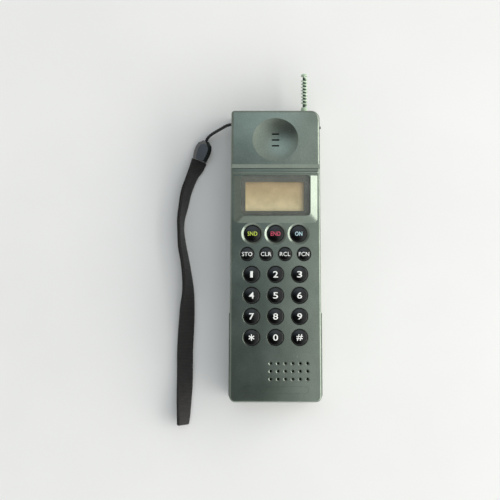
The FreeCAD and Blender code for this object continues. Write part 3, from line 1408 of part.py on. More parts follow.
# Battery pack
def battery():
    low = CASE_LOW
    case = case_block(
        "pack_blank", (low, PACK_HIGH), (0, PACK_TOP), "-pack_margin",
        corners=("corner_bottom + pack_margin", "pack_corner", "pack_corner"),
        round_end=("low", "back_edge_round"),
    )
    across = (f"-{RAIL_INNER}", RAIL_INNER)
    deck = box("pack_deck", across, (f"{low} - overrun", f"{PACK_HIGH} + overrun"),
               ("pack_deck_z", "parting_z + overrun"))
    room_low, room_high = f"{low} + pack_wall", f"{PACK_HIGH} - pack_wall"
    room = box("pack_room", across, (room_low, room_high), ("pack_floor", "parting_z"))
    tongues = [
        box(f"pack_tongue_{index}", span,
            (f"{low} + rail_tongue_low", f"{PACK_HIGH} - rail_tongue_high"),
            ("rail_tongue_z", "rail_tongue_z + rail_tongue_thick"))
        for index, span in enumerate((
            (f"{RAIL_INNER} - rail_tongue", f"{RAIL_INNER} + overlap"),
            (f"-{RAIL_INNER} - overlap", f"rail_tongue - {RAIL_INNER}"),
        ))
    ]
    terminal_ways = [
        box(f"terminal_way_{index}",
            (f"{index - 1} * contact_pitch - terminal_width / 2 - seat_gap",
             f"{index - 1} * contact_pitch + terminal_width / 2 + seat_gap"),
            (f"{PACK_HIGH} - terminal_thick - seat_gap", f"{PACK_HIGH} + overrun"),
            ("contact_z - terminal_height / 2 - seat_gap", "contact_z + terminal_height / 2 + seat_gap"))
        for index in range(3)
    ]
    latch_window = box(
        "latch_window", ("-latch_half - latch_catch_gap", "latch_half + latch_catch_gap"),
        (f"{PACK_HIGH} - pack_wall - overrun", f"{PACK_HIGH} + overrun"),
        ("latch_nose_z - latch_catch_gap",
         "latch_nose_z + latch_thick + latch_lift + latch_catch_gap"),
    )
    made = cut(
        "battery_case", fuse("pack_solid", cut("pack_tray", case, deck, room), *tongues),
        *terminal_ways, latch_window,
    )
    node(made, "battery_case")

    lid = box("battery_lid", (f"seat_gap - {RAIL_INNER}", f"{RAIL_INNER} - seat_gap"),
              (f"{room_low} + seat_gap", f"{room_high} - seat_gap"),
              ("pack_deck_z - lid_thick", "pack_deck_z"))
    node(lid, "battery_lid")

    cell_low = f"{room_low} + link_thick + cell_end_gap"
    cell_z = "pack_floor + cell_radius + seat_gap"
    room_for_cells = 2 * (size("case_half_mid") - size("rail_inset") - size("cell_side_gap"))
    least_pitch = 2 * size("cell_radius") + size("cell_gap")
    count = int((room_for_cells + size("cell_gap")) / least_pitch)
    middle = (count - 1) / 2
    reach = f"({RAIL_INNER} - cell_side_gap - cell_radius)"
    cells = []
    for index in range(count):
        x = f"{(index - middle) / middle} * {reach}"
        can_low, nub_low = cell_low, f"{cell_low} + cell_length - cell_nub - overlap"
        if index % 2:
            can_low, nub_low = f"{cell_low} + cell_nub", cell_low
        can = cylinder(f"cell_can_{index}", "cell_radius", (x, can_low, cell_z),
                       "cell_length - cell_nub", "Y")
        nub = cylinder(f"cell_nub_{index}", "cell_nub_radius", (x, nub_low, cell_z),
                       "cell_nub + overlap", "Y")
        cells.append(fuse(f"cell_{index}", can, nub))
    node(group("battery_cells", *cells), "battery_cells")
    links = []
    for index in range(count - 1):
        start = f"{cell_low} + cell_length" if index % 2 else f"{cell_low} - link_thick"
        links.append(box(
            f"cell_link_{index}",
            (f"{(index - middle) / middle} * {reach} - link_half",
             f"{(index + 1 - middle) / middle} * {reach} + link_half"),
            (start, f"{start} + link_thick"), (f"{cell_z} - link_half", f"{cell_z} + link_half"),
        ))
    node(group("battery_links", *links), "battery_links")
    terminals = [
        box(f"battery_terminal_{index}",
            (f"{index - 1} * contact_pitch - terminal_width / 2",
             f"{index - 1} * contact_pitch + terminal_width / 2"),
            (f"{PACK_HIGH} - terminal_thick", PACK_HIGH),
            ("contact_z - terminal_height / 2", "contact_z + terminal_height / 2"))
        for index in range(3)
    ]
    node(group("battery_terminals", *terminals), "battery_terminals")

    housing = box(
        "contact_housing", ("-contact_pitch - housing_margin", "contact_pitch + housing_margin"),
        (WALL_IN, f"{WALL_IN} + housing_length"),
        ("latch_nose_z + latch_thick + latch_lift + latch_gap", "radio_z"),
    )
    fingers = [
        box(f"contact_finger_{index}",
            (f"{index - 1} * contact_pitch - contact_width / 2",
             f"{index - 1} * contact_pitch + contact_width / 2"),
            (PACK_HIGH, f"{WALL_IN} + overlap"),
            ("contact_z - contact_half", "radio_z - seat_gap"))
        for index in range(3)
    ]
    node(fuse("battery_contacts", housing, *fingers), "battery_contacts")

    across = ("-latch_half", "latch_half")
    nose_end = f"{PACK_HIGH} - pack_wall - latch_reach"
    riser = (f"{PACK_HIGH} + latch_end_gap", f"{PACK_HIGH} + latch_end_gap + latch_riser")
    tongue = fuse(
        "battery_latch",
        box("latch_plate", across, (riser[0], LATCH_ROOT),
            ("latch_low", "latch_low + latch_thick")),
        box("latch_web", across, (f"{LATCH_ROOT} - latch_web", LATCH_ROOT),
            ("latch_low", "back_wall + latch_thick")),
        box("latch_foot", across, (f"{LATCH_ROOT} - latch_web", f"{LATCH_ROOT} + latch_foot"),
            ("back_wall", "back_wall + latch_thick")),
        box("latch_riser", across, riser, ("latch_low", "latch_nose_z + latch_thick")),
        box("latch_nose", across, (nose_end, riser[1]),
            ("latch_nose_z", "latch_nose_z + latch_thick")),
        box("latch_hook", across, (nose_end, f"{nose_end} + latch_hook"),
            ("latch_nose_z - latch_barb", "latch_nose_z + overlap")),
    )
    node(tongue, "battery_latch")


# Wrist strap: each point of the cord and each station of the webbing is chosen by hand
CORD_ROUTE = [
    (-27.6, 82.8, 13.0),
    (-25.56, 82.8, 13.0),
    (-24.52, 84.6, 13.0),
    (-25.56, 86.4, 13.0),
    (-29.0, 86.5, 13.0),
    (-32.3, 85.7, 12.0),
    (-35.6, 84.0, 10.3),
    (-39.2, 82.3, 8.3),
    (-42.0, 80.9, 6.3),
    (-44.05, 79.5, 4.7),
    (-45.25, 78.14, 3.6),
    (-45.85, 76.44, 3.6),
]
# Place along the webbing and its tilt out of the flat, in degrees.
WEBBING_STATIONS = [
    (-50.42, 63.45, 25),
    (-52.3, 58.6, 40),
    (-55.1, 53.0, 57),
    (-58.9, 43.0, 61),
    (-60.9, 33.0, 67),
    (-62.4, 25.1, 75),
    (-62.6, 17.1, 79),
    (-61.7, 7.1, 73),
    (-59.9, -2.8, 71),
    (-58.5, -12.8, 66),
    (-57.8, -23.4, 55),
    (-58.4, -33.4, 38),
    (-58.8, -41.3, 28),
    (-59.4, -50.6, 18),
    (-60.0, -61.9, 14),
    (-60.1, -72.5, 14),
    (-60.2, -83.8, 18),
    (-60.5, -94.5, 34),
    (-60.8, -105.2, 47),
    (-61.1, -111.0, 54),
]
SLIDER_FOOT = (-50.3, 63.8)
SLIDER_TURN = -19.4
# A cord's arc takes this share of the shorter of its two runs.
ARC_SHARE = 0.45


def cord_path(route):
    """Straight runs joined by tangent arcs, each as large as its two runs allow."""
    points = [FreeCAD.Vector(*point) for point in route]
    edges, last, radii = [], points[0], []
    for before, corner, after in zip(points, points[1:], points[2:]):
        back, ahead = before - corner, after - corner
        half_turn = (math.pi - back.getAngle(ahead)) / 2
        radius = ARC_SHARE * min(back.Length, ahead.Length) / math.tan(half_turn)
        leg = radius * math.tan(half_turn)
        back.normalize()
        ahead.normalize()
        start, end = corner + back * leg, corner + ahead * leg
        inward = (back + ahead).normalize()
        apex = corner + inward * (radius / math.cos(half_turn) - radius)
        edges.append(Part.LineSegment(last, start).toShape())
        edges.append(Part.Arc(start, apex, end).toShape())
        last = end
        radii.append(radius)
    edges.append(Part.LineSegment(last, points[-1]).toShape())
    return Part.Wire(edges), radii


def strap():
    bar = cylinder(
        "strap_bar", "strap_bar_radius",
        (f"strap_bar_inset - {STRAP_WALL_X}", STRAP_Y,
         "strap_z - strap_pocket_rise - strap_bar_hold"),
        "2 * (strap_pocket_rise + strap_bar_hold)",
    )
    node(bar, "strap_bar")

    path, radii = cord_path(CORD_ROUTE)
    first, second = (FreeCAD.Vector(*point) for point in CORD_ROUTE[:2])
    ring = Part.Wire(Part.Circle(first, second - first, size("cord_width") / 2).toShape())
    cord = DOC.addObject("Part::Feature", "strap_cord")
    cord.Shape = path.makePipeShell([ring], True, False)
    node(cord, "strap_cord")
    full = math.pi * size("cord_width") ** 2 / 4 * path.Length
    print("strap cord radii", [round(radius, 1) for radius in radii],
          "volume ratio", round(cord.Shape.Volume / full, 4))

    body = DOC.addObject("PartDesign::Body", "strap_slider")
    profile = body_sketch(body, "slider_outline", "XY_Plane", z="seat_gap")
    right = [
        ("slider_foot", "0"), ("slider_half", "0.35 * slider_length"),
        ("slider_half", "0.62 * slider_length"), ("slider_shoulder", "0.82 * slider_length"),
        ("slider_neck", "slider_length"),
    ]
    polygon(profile, right + [(f"-({x})", y) for x, y in reversed(right)])
    pad = body.newObject("PartDesign::Pad", "slider_pad")
    pad.Profile = profile
    bind(pad, Length="slider_height")
    DOC.recompute()
    rims = edges_where(pad.Shape, lambda edge: (
        edge.BoundBox.ZLength < NEARLY and edge.CenterOfMass.y > NEARLY
    ))
    chamfer = body.newObject("PartDesign::Chamfer", "slider_chamfer")
    chamfer.Base = (pad, ["Edge%d" % index for index in rims])
    bind(chamfer, Size="slider_chamfer")
    body.Placement = FreeCAD.Placement(
        FreeCAD.Vector(*SLIDER_FOOT, 0), FreeCAD.Rotation(FreeCAD.Vector(0, 0, 1), SLIDER_TURN)
    )
    node(body, "strap_slider")

    half, thick = size("webbing_width") / 2, size("webbing_thick") / 2
    wires = []
    for index, (x, y, tilt) in enumerate(WEBBING_STATIONS):
        before = WEBBING_STATIONS[max(index - 1, 0)]
        after = WEBBING_STATIONS[min(index + 1, len(WEBBING_STATIONS) - 1)]
        along = FreeCAD.Vector(after[0] - before[0], after[1] - before[1], 0).normalize()
        side = FreeCAD.Vector(along.y, -along.x, 0)
        lean = math.radians(tilt)
        up = FreeCAD.Vector(0, 0, 1)
        across = side * math.cos(lean) + up * math.sin(lean)
        normal = up * math.cos(lean) - side * math.sin(lean)
        height = half * math.sin(lean) + thick * math.cos(lean) + size("seat_gap")
        centre = FreeCAD.Vector(x, y, height)
        wires.append(Part.makePolygon([
            centre + across * (half * a) + normal * (thick * b)
            for a, b in ((-1, -1), (1, -1), (1, 1), (-1, 1), (-1, -1))
        ]))
    webbing = DOC.addObject("Part::Feature", "strap_webbing")
    webbing.Shape = Part.makeLoft(wires, True, True)
    node(webbing, "strap_webbing")


def flank_plug():
    start = f"{half_width(PLUG_Y)} - plug_depth"
    plug = cylinder("plug_blank", "plug_radius", (start, PLUG_Y, "plug_z"),
                    "plug_depth + plug_proud", "X")
    plug_y = size("case_length") / 2 - size("plug_inset")
    level = size("case_half_mid") - size("case_flare") * plug_y
    plug = fillet("flank_plug", plug, size("plug_round"), lambda edge: edge.BoundBox.XMin > level)
    node(plug, "flank_plug")


def check(objects):
    """Stop before writing anything if an object failed or a shape is not sound."""
    for made in objects:
        if {"Invalid", "Error"} & set(made.State):
            raise RuntimeError(f"{made.Name} failed: {made.State}")
    for name, made in NODES.items():
        if made.Shape.isNull() or not made.Shape.isValid() or not made.Shape.Solids:
            raise RuntimeError(f"{name} has no sound solid")


def main():
    front_cover()
    rear_cover()
    case_screws()
    display()
    for name, cap, x, y in key_places():
        key(name, cap, x, y)
    keypad_mat()
    boards()
    sound_parts()
    antenna()
    battery()
    strap()
    flank_plug()
    DOC.recompute()
    check(DOC.Objects)
    os.makedirs("parts", exist_ok=True)
    for name, made in NODES.items():
        made.Shape.exportStep(f"parts/{name}.step")
        extent = made.Shape.BoundBox
        print(f"{name}: {len(made.Shape.Solids)} solid, {made.Shape.Volume:.0f} cubic mm, "
              f"X {extent.XMin:.1f} {extent.XMax:.1f} Y {extent.YMin:.1f} {extent.YMax:.1f} "
              f"Z {extent.ZMin:.1f} {extent.ZMax:.1f}")
    print(len(NODES), "nodes")


main()
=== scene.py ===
# %% [markdown]
# Handheld telephone on a pale table
#
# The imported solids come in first. Four of them give way to finer pieces in the same place: the
# laid cord, the folded webbing, the antenna's coil and the window, which gets a printed border.
# The keys get their legends. Then each piece gets its finish, and a lamp and a room light them.
# All lengths are in metres, so MM turns a size in millimetres into one that Blender uses.

import json
import math

import bmesh
import bpy
import numpy as np
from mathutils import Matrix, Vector


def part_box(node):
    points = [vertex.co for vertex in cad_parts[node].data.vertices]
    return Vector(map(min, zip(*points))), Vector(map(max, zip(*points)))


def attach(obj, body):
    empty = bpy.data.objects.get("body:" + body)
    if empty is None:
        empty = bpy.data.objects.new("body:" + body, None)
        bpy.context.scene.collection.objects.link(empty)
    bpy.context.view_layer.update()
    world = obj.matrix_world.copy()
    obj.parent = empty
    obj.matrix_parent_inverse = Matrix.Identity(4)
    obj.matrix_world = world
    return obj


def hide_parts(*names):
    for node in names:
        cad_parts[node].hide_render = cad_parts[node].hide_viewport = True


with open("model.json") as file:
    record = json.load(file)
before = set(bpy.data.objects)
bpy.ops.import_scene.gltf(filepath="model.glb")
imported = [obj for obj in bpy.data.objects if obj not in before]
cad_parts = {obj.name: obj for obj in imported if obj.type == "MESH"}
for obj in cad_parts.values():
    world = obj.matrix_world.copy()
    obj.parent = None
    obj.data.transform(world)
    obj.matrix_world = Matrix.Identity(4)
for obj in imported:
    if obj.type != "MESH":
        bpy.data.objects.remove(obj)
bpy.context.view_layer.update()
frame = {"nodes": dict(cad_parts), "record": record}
MM = 0.001
scene = bpy.context.scene

# %% [markdown]
# The camera looks straight down on the keypad, as the photographer did. The lens makes the face
# 0.633 mm per pixel, and a small shift puts the telephone right of the middle.

# %% Camera
FACE_HEIGHT = 34 * MM
EYE_DISTANCE = 650 * MM
FRAME_WIDTH = 316.5 * MM

eye = bpy.data.cameras.new("eye")
eye.sensor_width = 36
eye.lens = eye.sensor_width * EYE_DISTANCE / FRAME_WIDTH
eye.shift_x = -0.051
eye.shift_y = 0.0135
camera = bpy.data.objects.new("eye", eye)
camera.location = (0, 0, FACE_HEIGHT + EYE_DISTANCE)
scene.collection.objects.link(camera)
scene.camera = camera
print("lens", round(eye.lens, 2), "mm")

# %% [markdown]
# The cord is a free one: it goes round a small bar in a pocket of the left side, out, and down to
# the slider on the table. Its line is a smooth curve through the air with the route's points as
# its control points. Three strands wound round that line make a laid cord, as on the real one.

# %% Route of the cord
CORD_DIAMETER = 1.8 * MM
CORD_STEP = 0.15 * MM
CORD_ROUTE = np.array([
    (-27.6, 82.8, 13.0),
    (-25.56, 82.8, 13.0),
    (-24.52, 84.6, 13.0),
    (-25.56, 86.4, 13.0),
    (-29.0, 86.5, 13.0),
    (-32.3, 85.7, 12.0),
    (-35.6, 84.0, 10.3),
    (-39.2, 82.3, 8.3),
    (-42.0, 80.9, 6.3),
    (-44.05, 79.5, 4.7),
    (-45.25, 78.14, 3.6),
    (-45.85, 76.44, 3.6),
]) * MM


def mesh_points(mesh):
    """A mesh's points as the rows of an array."""
    points = np.zeros(len(mesh.vertices) * 3)
    mesh.vertices.foreach_get("co", points)
    return points.reshape(-1, 3)


def smooth_line(name, points):
    """Points along the NURBS line whose control points are given."""
    curve = bpy.data.curves.new(name, "CURVE")
    curve.dimensions = "3D"
    spline = curve.splines.new("NURBS")
    spline.points.add(len(points) - 1)
    spline.points.foreach_set("co", np.column_stack([points, np.ones(len(points))]).ravel())
    spline.order_u = 3
    spline.use_endpoint_u = True
    spline.resolution_u = 24
    holder = bpy.data.objects.new(name, curve)
    scene.collection.objects.link(holder)
    bpy.context.view_layer.update()
    mesh = bpy.data.meshes.new_from_object(holder)
    line = mesh_points(mesh)
    bpy.data.objects.remove(holder)
    bpy.data.meshes.remove(mesh)
    return line


def even_points(line, step):
    """The same line with points at equal distances along it, and those distances."""
    walked = np.concatenate([[0], np.cumsum(np.linalg.norm(np.diff(line, axis=0), axis=1))])
    places = np.linspace(0, walked[-1], int(walked[-1] / step))
    return np.column_stack([np.interp(places, walked, line[:, axis]) for axis in range(3)]), places


cord_line, cord_places = even_points(smooth_line("cord_route", CORD_ROUTE), CORD_STEP)
print("cord length", round(cord_places[-1] / MM, 1), "mm")

# %% [markdown]
# A tube is a circle carried along a line. The circle needs two directions across the line that
# don't spin by themselves, so each pair is the last one, turned as little as the line turns.

# %% Tubes
def across_line(line, first=(0, 0, 1)):
    """Tangents of a line and two unit vectors across it, carried along without spin."""
    tangent = np.gradient(line, axis=0)
    tangent /= np.linalg.norm(tangent, axis=1, keepdims=True)
    side = np.zeros_like(line)
    last = np.array(first, float)
    for index, way in enumerate(tangent):
        last = last - way * last.dot(way)
        last /= np.linalg.norm(last)
        side[index] = last
    return tangent, side, np.cross(tangent, side)


def grid_faces(rows, columns, offset=0):
    """Quads between the rows of a grid whose columns close on themselves."""
    row, column = np.meshgrid(np.arange(rows - 1), np.arange(columns), indexing="ij")
    ahead = (column + 1) % columns
    corners = [row * columns + column, row * columns + ahead,
               (row + 1) * columns + ahead, (row + 1) * columns + column]
    return (np.stack(corners, axis=-1) + offset).reshape(-1, 4)


def end_caps(rows, columns, offset=0):
    """The faces that close the first and the last row of a grid."""
    last = offset + (rows - 1) * columns
    return [list(range(offset, offset + columns))[::-1], list(range(last, last + columns))]


def tube(line, radius, sides, first=(0, 0, 1)):
    """Circle of a radius carried along a line: point(i, a) = line(i) + r (cos a U + sin a V)."""
    _, across, over = across_line(line, first)
    angle = np.linspace(0, math.tau, sides, endpoint=False)
    ring = (across[:, None] * np.cos(angle)[None, :, None]
            + over[:, None] * np.sin(angle)[None, :, None])
    return (line[:, None] + radius * ring).reshape(-1, 3)


def make_piece(name, points, quads, caps=(), uv=None):
    """A mesh object at the origin from points, quads and closing faces, turned outwards."""
    mesh = bpy.data.meshes.new(name)
    faces = [list(map(int, quad)) for quad in quads] + [list(map(int, cap)) for cap in caps]
    mesh.from_pydata(points.tolist(), [], faces)
    if uv is not None:
        layer = mesh.uv_layers.new(name="UVMap")
        index = np.zeros(len(mesh.loops), np.int32)
        mesh.loops.foreach_get("vertex_index", index)
        layer.data.foreach_set("uv", uv[index].astype(np.float32).ravel())
    shape = bmesh.new()
    shape.from_mesh(mesh)
    bmesh.ops.recalc_face_normals(shape, faces=shape.faces)
    shape.to_mesh(mesh)
    shape.free()
    mesh.shade_smooth()
    piece = bpy.data.objects.new(name, mesh)
    scene.collection.objects.link(piece)
    return piece


# %% Laid cord
STRANDS = 3
LAY_LENGTH = 5.4 * MM
STRAND_RADIUS = 0.32 * CORD_DIAMETER
STRAND_CENTRE = 0.27 * CORD_DIAMETER
STRAND_SIDES = 10
STRAND_MAP_WIDTH = 2

_, cord_across, cord_over = across_line(cord_line)
cord_points, cord_quads, cord_caps, cord_uv = [], [], [], []
for strand in range(STRANDS):
    turn = math.tau * (cord_places / LAY_LENGTH + strand / STRANDS)
    centre = cord_line + STRAND_CENTRE * (
        cord_across * np.cos(turn)[:, None] + cord_over * np.sin(turn)[:, None]
    )
    base = sum(len(part) for part in cord_points)
    cord_points.append(tube(centre, STRAND_RADIUS, STRAND_SIDES))
    cord_quads.append(grid_faces(len(centre), STRAND_SIDES, base))
    cord_caps.extend(end_caps(len(centre), STRAND_SIDES, base))
    around = np.tile(np.arange(STRAND_SIDES) / STRAND_SIDES, len(centre))
    along = np.repeat(cord_places, STRAND_SIDES)
    cord_uv.append(np.column_stack([along / MM, around * STRAND_MAP_WIDTH]))
cord = make_piece("laid_cord", np.vstack(cord_points), np.vstack(cord_quads), cord_caps,
                  np.vstack(cord_uv))
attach(cord, "handset")
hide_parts("strap_cord")
print("cord", len(cord.data.polygons), "faces")

# %% [markdown]
# The webbing is one long strip, folded at its lower end and brought back on itself, so both layers
# lie face to face. It lies on the table half on its edge, and how far it leans changes along it.
# Each station gives a place along the middle in millimetres and the lean there in degrees; a
# smooth curve joins them and stops a hair short of the last. The section is a flat superellipse:
# half the width times the cosine to a power under one, and half the thickness times the sine to
# another, with their signs kept, so its long sides are nearly straight.

# %% Webbing
WEBBING_WIDTH = 10.5 * MM
LAYER_THICKNESS = 1.08 * MM
LAYER_OFFSET = 0.62 * MM
TABLE_GAP = 0.08 * MM
WEBBING_STEPS = 420
STATION_MARGIN = 0.0001
WEBBING_STATIONS = np.array([
    (-50.42, 63.45, 25),
    (-52.3, 58.6, 40),
    (-55.1, 53.0, 57),
    (-58.9, 43.0, 61),
    (-60.9, 33.0, 67),
    (-62.4, 25.1, 75),
    (-62.6, 17.1, 79),
    (-61.7, 7.1, 73),
    (-59.9, -2.8, 71),
    (-58.5, -12.8, 66),
    (-57.8, -23.4, 55),
    (-58.4, -33.4, 38),
    (-58.8, -41.3, 28),
    (-59.4, -50.6, 18),
    (-60.0, -61.9, 14),
    (-60.1, -72.5, 14),
    (-60.2, -83.8, 18),
    (-60.5, -94.5, 34),
    (-60.8, -105.2, 47),
    (-61.1, -110.2, 54),
])


def through_points(points, places):
    """Smooth curve through points, counted from 0: a cubic Hermite with mean slopes."""
    slopes = np.gradient(points, axis=0)
    low = np.clip(places.astype(int), 0, len(points) - 2)
    part = (places - low)[:, None]
    before, after = points[low], points[low + 1]
    return (
        before * (2 * part**3 - 3 * part**2 + 1) + slopes[low] * (part**3 - 2 * part**2 + part)
        + after * (-2 * part**3 + 3 * part**2) + slopes[low + 1] * (part**3 - part**2)
    )


last_place = len(WEBBING_STATIONS) - 1 - STATION_MARGIN
stations = through_points(WEBBING_STATIONS, np.linspace(0, last_place, WEBBING_STEPS))
lean = np.radians(stations[:, 2])
middle = np.column_stack([stations[:, 0] * MM, stations[:, 1] * MM, np.zeros(len(stations))])
forward = np.gradient(middle, axis=0)
forward /= np.linalg.norm(forward, axis=1, keepdims=True)
sideways = np.column_stack([forward[:, 1], -forward[:, 0], np.zeros(len(forward))])
upward = np.array([0, 0, 1.0])
across = sideways * np.cos(lean)[:, None] + upward * np.sin(lean)[:, None]
normal = upward * np.cos(lean)[:, None] - sideways * np.sin(lean)[:, None]
half_stack = LAYER_OFFSET + LAYER_THICKNESS / 2
middle[:, 2] = WEBBING_WIDTH / 2 * np.sin(lean) + half_stack * np.cos(lean) + TABLE_GAP

FOLD_STEPS = 12
fold_angle = np.linspace(0, math.pi, FOLD_STEPS + 2)[1:-1][:, None]
fold_centre, fold_normal, fold_forward = middle[-1], normal[-1], forward[-1]
fold_face = fold_normal * np.cos(fold_angle) + fold_forward * np.sin(fold_angle)
strip_line = np.vstack([
    middle + normal * LAYER_OFFSET, fold_centre + fold_face * LAYER_OFFSET,
    middle[::-1] - normal[::-1] * LAYER_OFFSET,
])
strip_face = np.vstack([normal, fold_face, -normal[::-1]])
strip_across = np.vstack([across, np.repeat(across[-1:], FOLD_STEPS, axis=0), across[::-1]])

SECTION_SIDES = 28
WIDTH_POWER = 0.28
THICKNESS_POWER = 0.55
turn = np.linspace(0, math.tau, SECTION_SIDES, endpoint=False)
section_across = (
    np.sign(np.cos(turn)) * np.abs(np.cos(turn)) ** WIDTH_POWER * WEBBING_WIDTH / 2
)
section_over = (
    np.sign(np.sin(turn)) * np.abs(np.sin(turn)) ** THICKNESS_POWER * LAYER_THICKNESS / 2
)
strip_points = (
    strip_line[:, None] + strip_across[:, None] * section_across[None, :, None]
    + strip_face[:, None] * section_over[None, :, None]
).reshape(-1, 3)
strip_steps = np.linalg.norm(np.diff(strip_line, axis=0), axis=1)
strip_places = np.concatenate([[0], np.cumsum(strip_steps)])
strip_uv = np.column_stack([
    np.repeat(strip_places / MM, SECTION_SIDES),
    np.tile(section_across / MM, len(strip_line)),
])
webbing = make_piece(
    "folded_webbing", strip_points, grid_faces(len(strip_line), SECTION_SIDES),
    end_caps(len(strip_line), SECTION_SIDES), strip_uv,
)
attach(webbing, "handset")
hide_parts("strap_webbing")
print("webbing strip", round(strip_places[-1] / MM, 1), "mm")

# %% [markdown]
# The antenna's tip is a spring wound from thick wire with a pale green coating. It is one tube
# carried along a helix; at both ends the wire turns out of the winding to run along the antenna.
# That takes a quarter turn, in which a slope plus a quarter circle climb most of the lead.

# %% Antenna coil
COIL_CENTRE_X, COIL_CENTRE_Z = 18.7 * MM, 13.0 * MM
COIL_RADIUS = 1.6 * MM
WIRE_RADIUS = 0.45 * MM
COIL_PITCH = 2.05 * MM
COIL_TURNS = 8.0
COIL_STEPS = 900
END_TURN = 0.25
LEAD_SLOPE = 0.35
LEAD_ARC = 0.6
WIRE_SIDES = 16


def lead_climb(part):
    """Share of the lead climbed: slope times part, plus arc times 1 - sqrt(1 - part squared)."""
    return LEAD_SLOPE * part + LEAD_ARC * (1 - np.sqrt(1 - part**2))


coil_low, coil_high = (corner.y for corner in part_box("antenna_coil"))
coil_lead = (coil_high - coil_low - COIL_PITCH * COIL_TURNS) / 2

coil_turn = np.linspace(-END_TURN, COIL_TURNS + END_TURN, COIL_STEPS)
rise = coil_low + coil_lead + COIL_PITCH * np.clip(coil_turn, 0, COIL_TURNS)
rise -= coil_lead * lead_climb(np.clip(-coil_turn / END_TURN, 0, 1))
rise += coil_lead * lead_climb(np.clip((coil_turn - COIL_TURNS) / END_TURN, 0, 1))
coil_angle = math.tau * coil_turn
coil_line = np.column_stack([
    COIL_CENTRE_X + COIL_RADIUS * np.cos(coil_angle), rise,
    COIL_CENTRE_Z + COIL_RADIUS * np.sin(coil_angle),
])
coil = make_piece(
    "wound_coil", tube(coil_line, WIRE_RADIUS, WIRE_SIDES, (1, 0, 0)),
    grid_faces(COIL_STEPS, WIRE_SIDES), end_caps(COIL_STEPS, WIRE_SIDES),
)
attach(coil, "antenna")
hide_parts("antenna_coil")
print("coil from", round(rise.min() / MM, 1), "to", round(rise.max() / MM, 1), "mm")

# %% [markdown]
# The window is a sheet of clear acrylic whose back is printed with a dark grey border. The clear
# sheet and the print are two pieces here, so light goes through the one and stops at the other.

# %% Window and its printed border
WINDOW_CORNER = 2.5 * MM
PANE_BEVEL = 0.25 * MM
PRINT_THICKNESS = 0.05 * MM
PANE_LIFT = 1.2 * PRINT_THICKNESS
PRINT_INSET = 0.2 * MM
VIEW_CORNER = 0.4 * MM
VIEW_CENTRE = np.array([-0.6, 38.2]) * MM
VIEW_SPAN = np.array([36.9, 18.3]) * MM


def rounded_outline(centre, span, corner, steps=8):
    """Rectangle with round corners: four quarter circles in turn, counted anticlockwise."""
    angle = np.linspace(0, math.pi / 2, steps)
    reach = np.array(span) / 2 - corner
    quarters = [
        np.column_stack([
            sign_x * reach[0] + corner * np.cos(angle + start),
            sign_y * reach[1] + corner * np.sin(angle + start),
        ])
        for sign_x, sign_y, start in (
            (1, 1, 0), (-1, 1, math.pi / 2), (-1, -1, math.pi), (1, -1, 1.5 * math.pi),
        )
    ]
    return np.vstack(quarters) + np.array(centre)


def stacked(outlines, heights):
    """Outlines at heights, one above the other, as one array of points."""
    return np.vstack([
        np.column_stack([outline, np.full(len(outline), height)])
        for outline, height in zip(outlines, heights)
    ])


pane_low, pane_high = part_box("display_window")
pane_centre = ((pane_low + pane_high) / 2)[:2]
pane_span = np.array((pane_high - pane_low)[:2])
pane_rim = rounded_outline(pane_centre, pane_span, WINDOW_CORNER)
pane_top = rounded_outline(pane_centre, pane_span - 2 * PANE_BEVEL, WINDOW_CORNER - PANE_BEVEL)
pane_heights = [pane_low.z + PANE_LIFT, pane_high.z - PANE_BEVEL, pane_high.z]
count = len(pane_rim)
pane = make_piece(
    "clear_pane", stacked([pane_rim, pane_rim, pane_top], pane_heights),
    grid_faces(3, count), end_caps(3, count),
)
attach(pane, "handset")
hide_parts("display_window")

print_outer = rounded_outline(pane_centre, pane_span - 2 * PRINT_INSET, WINDOW_CORNER)
print_inner = rounded_outline(VIEW_CENTRE, VIEW_SPAN, VIEW_CORNER)
print_top = pane_low.z + PRINT_THICKNESS
# Four rows of points make a closed ring, so the last row is joined to the first.
border = make_piece(
    "printed_border",
    stacked([print_outer, print_inner, print_inner, print_outer],
            [pane_low.z, pane_low.z, print_top, print_top]),
    grid_faces(5, count) % (4 * count),
)
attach(border, "handset")
for piece in (pane, border):
    piece.data.shade_flat()
print("window", [round(value / MM, 1) for value in pane_span])

# %% [markdown]
# Legends are screen printed on the crowned keys. Each one starts as flat text, becomes a mesh, is
# cut into small triangles and laid on the crown. Each row of the list gives the text, its width
# and height in millimetres, and the ink.

# %% Key legends
CROWN_RADIUS = 27 * MM
INK_LIFT = 0.03 * MM
INK_THICKNESS = 1.5 * INK_LIFT
LONGEST_EDGE = 0.6 * MM
SPLIT_ROUNDS = 3
WORD_WEIGHT = 0.009
DIGIT_WEIGHT = 0.014
LETTER_SPACING = 1.06
STAR_ARM_HALF = 0.17
DIGIT_WIDTH = 3.2
ONE_WIDTH = 1.7
DIGIT_HEIGHT = 4.1
LEGENDS = {
    "key_send": ("SND", 6.2, 2.7, "lime"),
    "key_end": ("END", 6.2, 2.7, "rose"),
    "key_power": ("ON", 4.6, 2.7, "ice"),
    "key_store": ("STO", 6.6, 2.6, "white"),
    "key_clear": ("CLR", 6.6, 2.6, "white"),
    "key_recall": ("RCL", 6.6, 2.6, "white"),
    "key_function": ("FCN", 6.6, 2.6, "white"),
}
for digit in "1234567890":
    digit_width = ONE_WIDTH if digit == "1" else DIGIT_WIDTH
    LEGENDS["key_" + digit] = (digit, digit_width, DIGIT_HEIGHT, "white")
LEGENDS["key_star"] = ("*", 3.7, 4.0, "white")
LEGENDS["key_hash"] = ("#", 4.1, 4.1, "white")


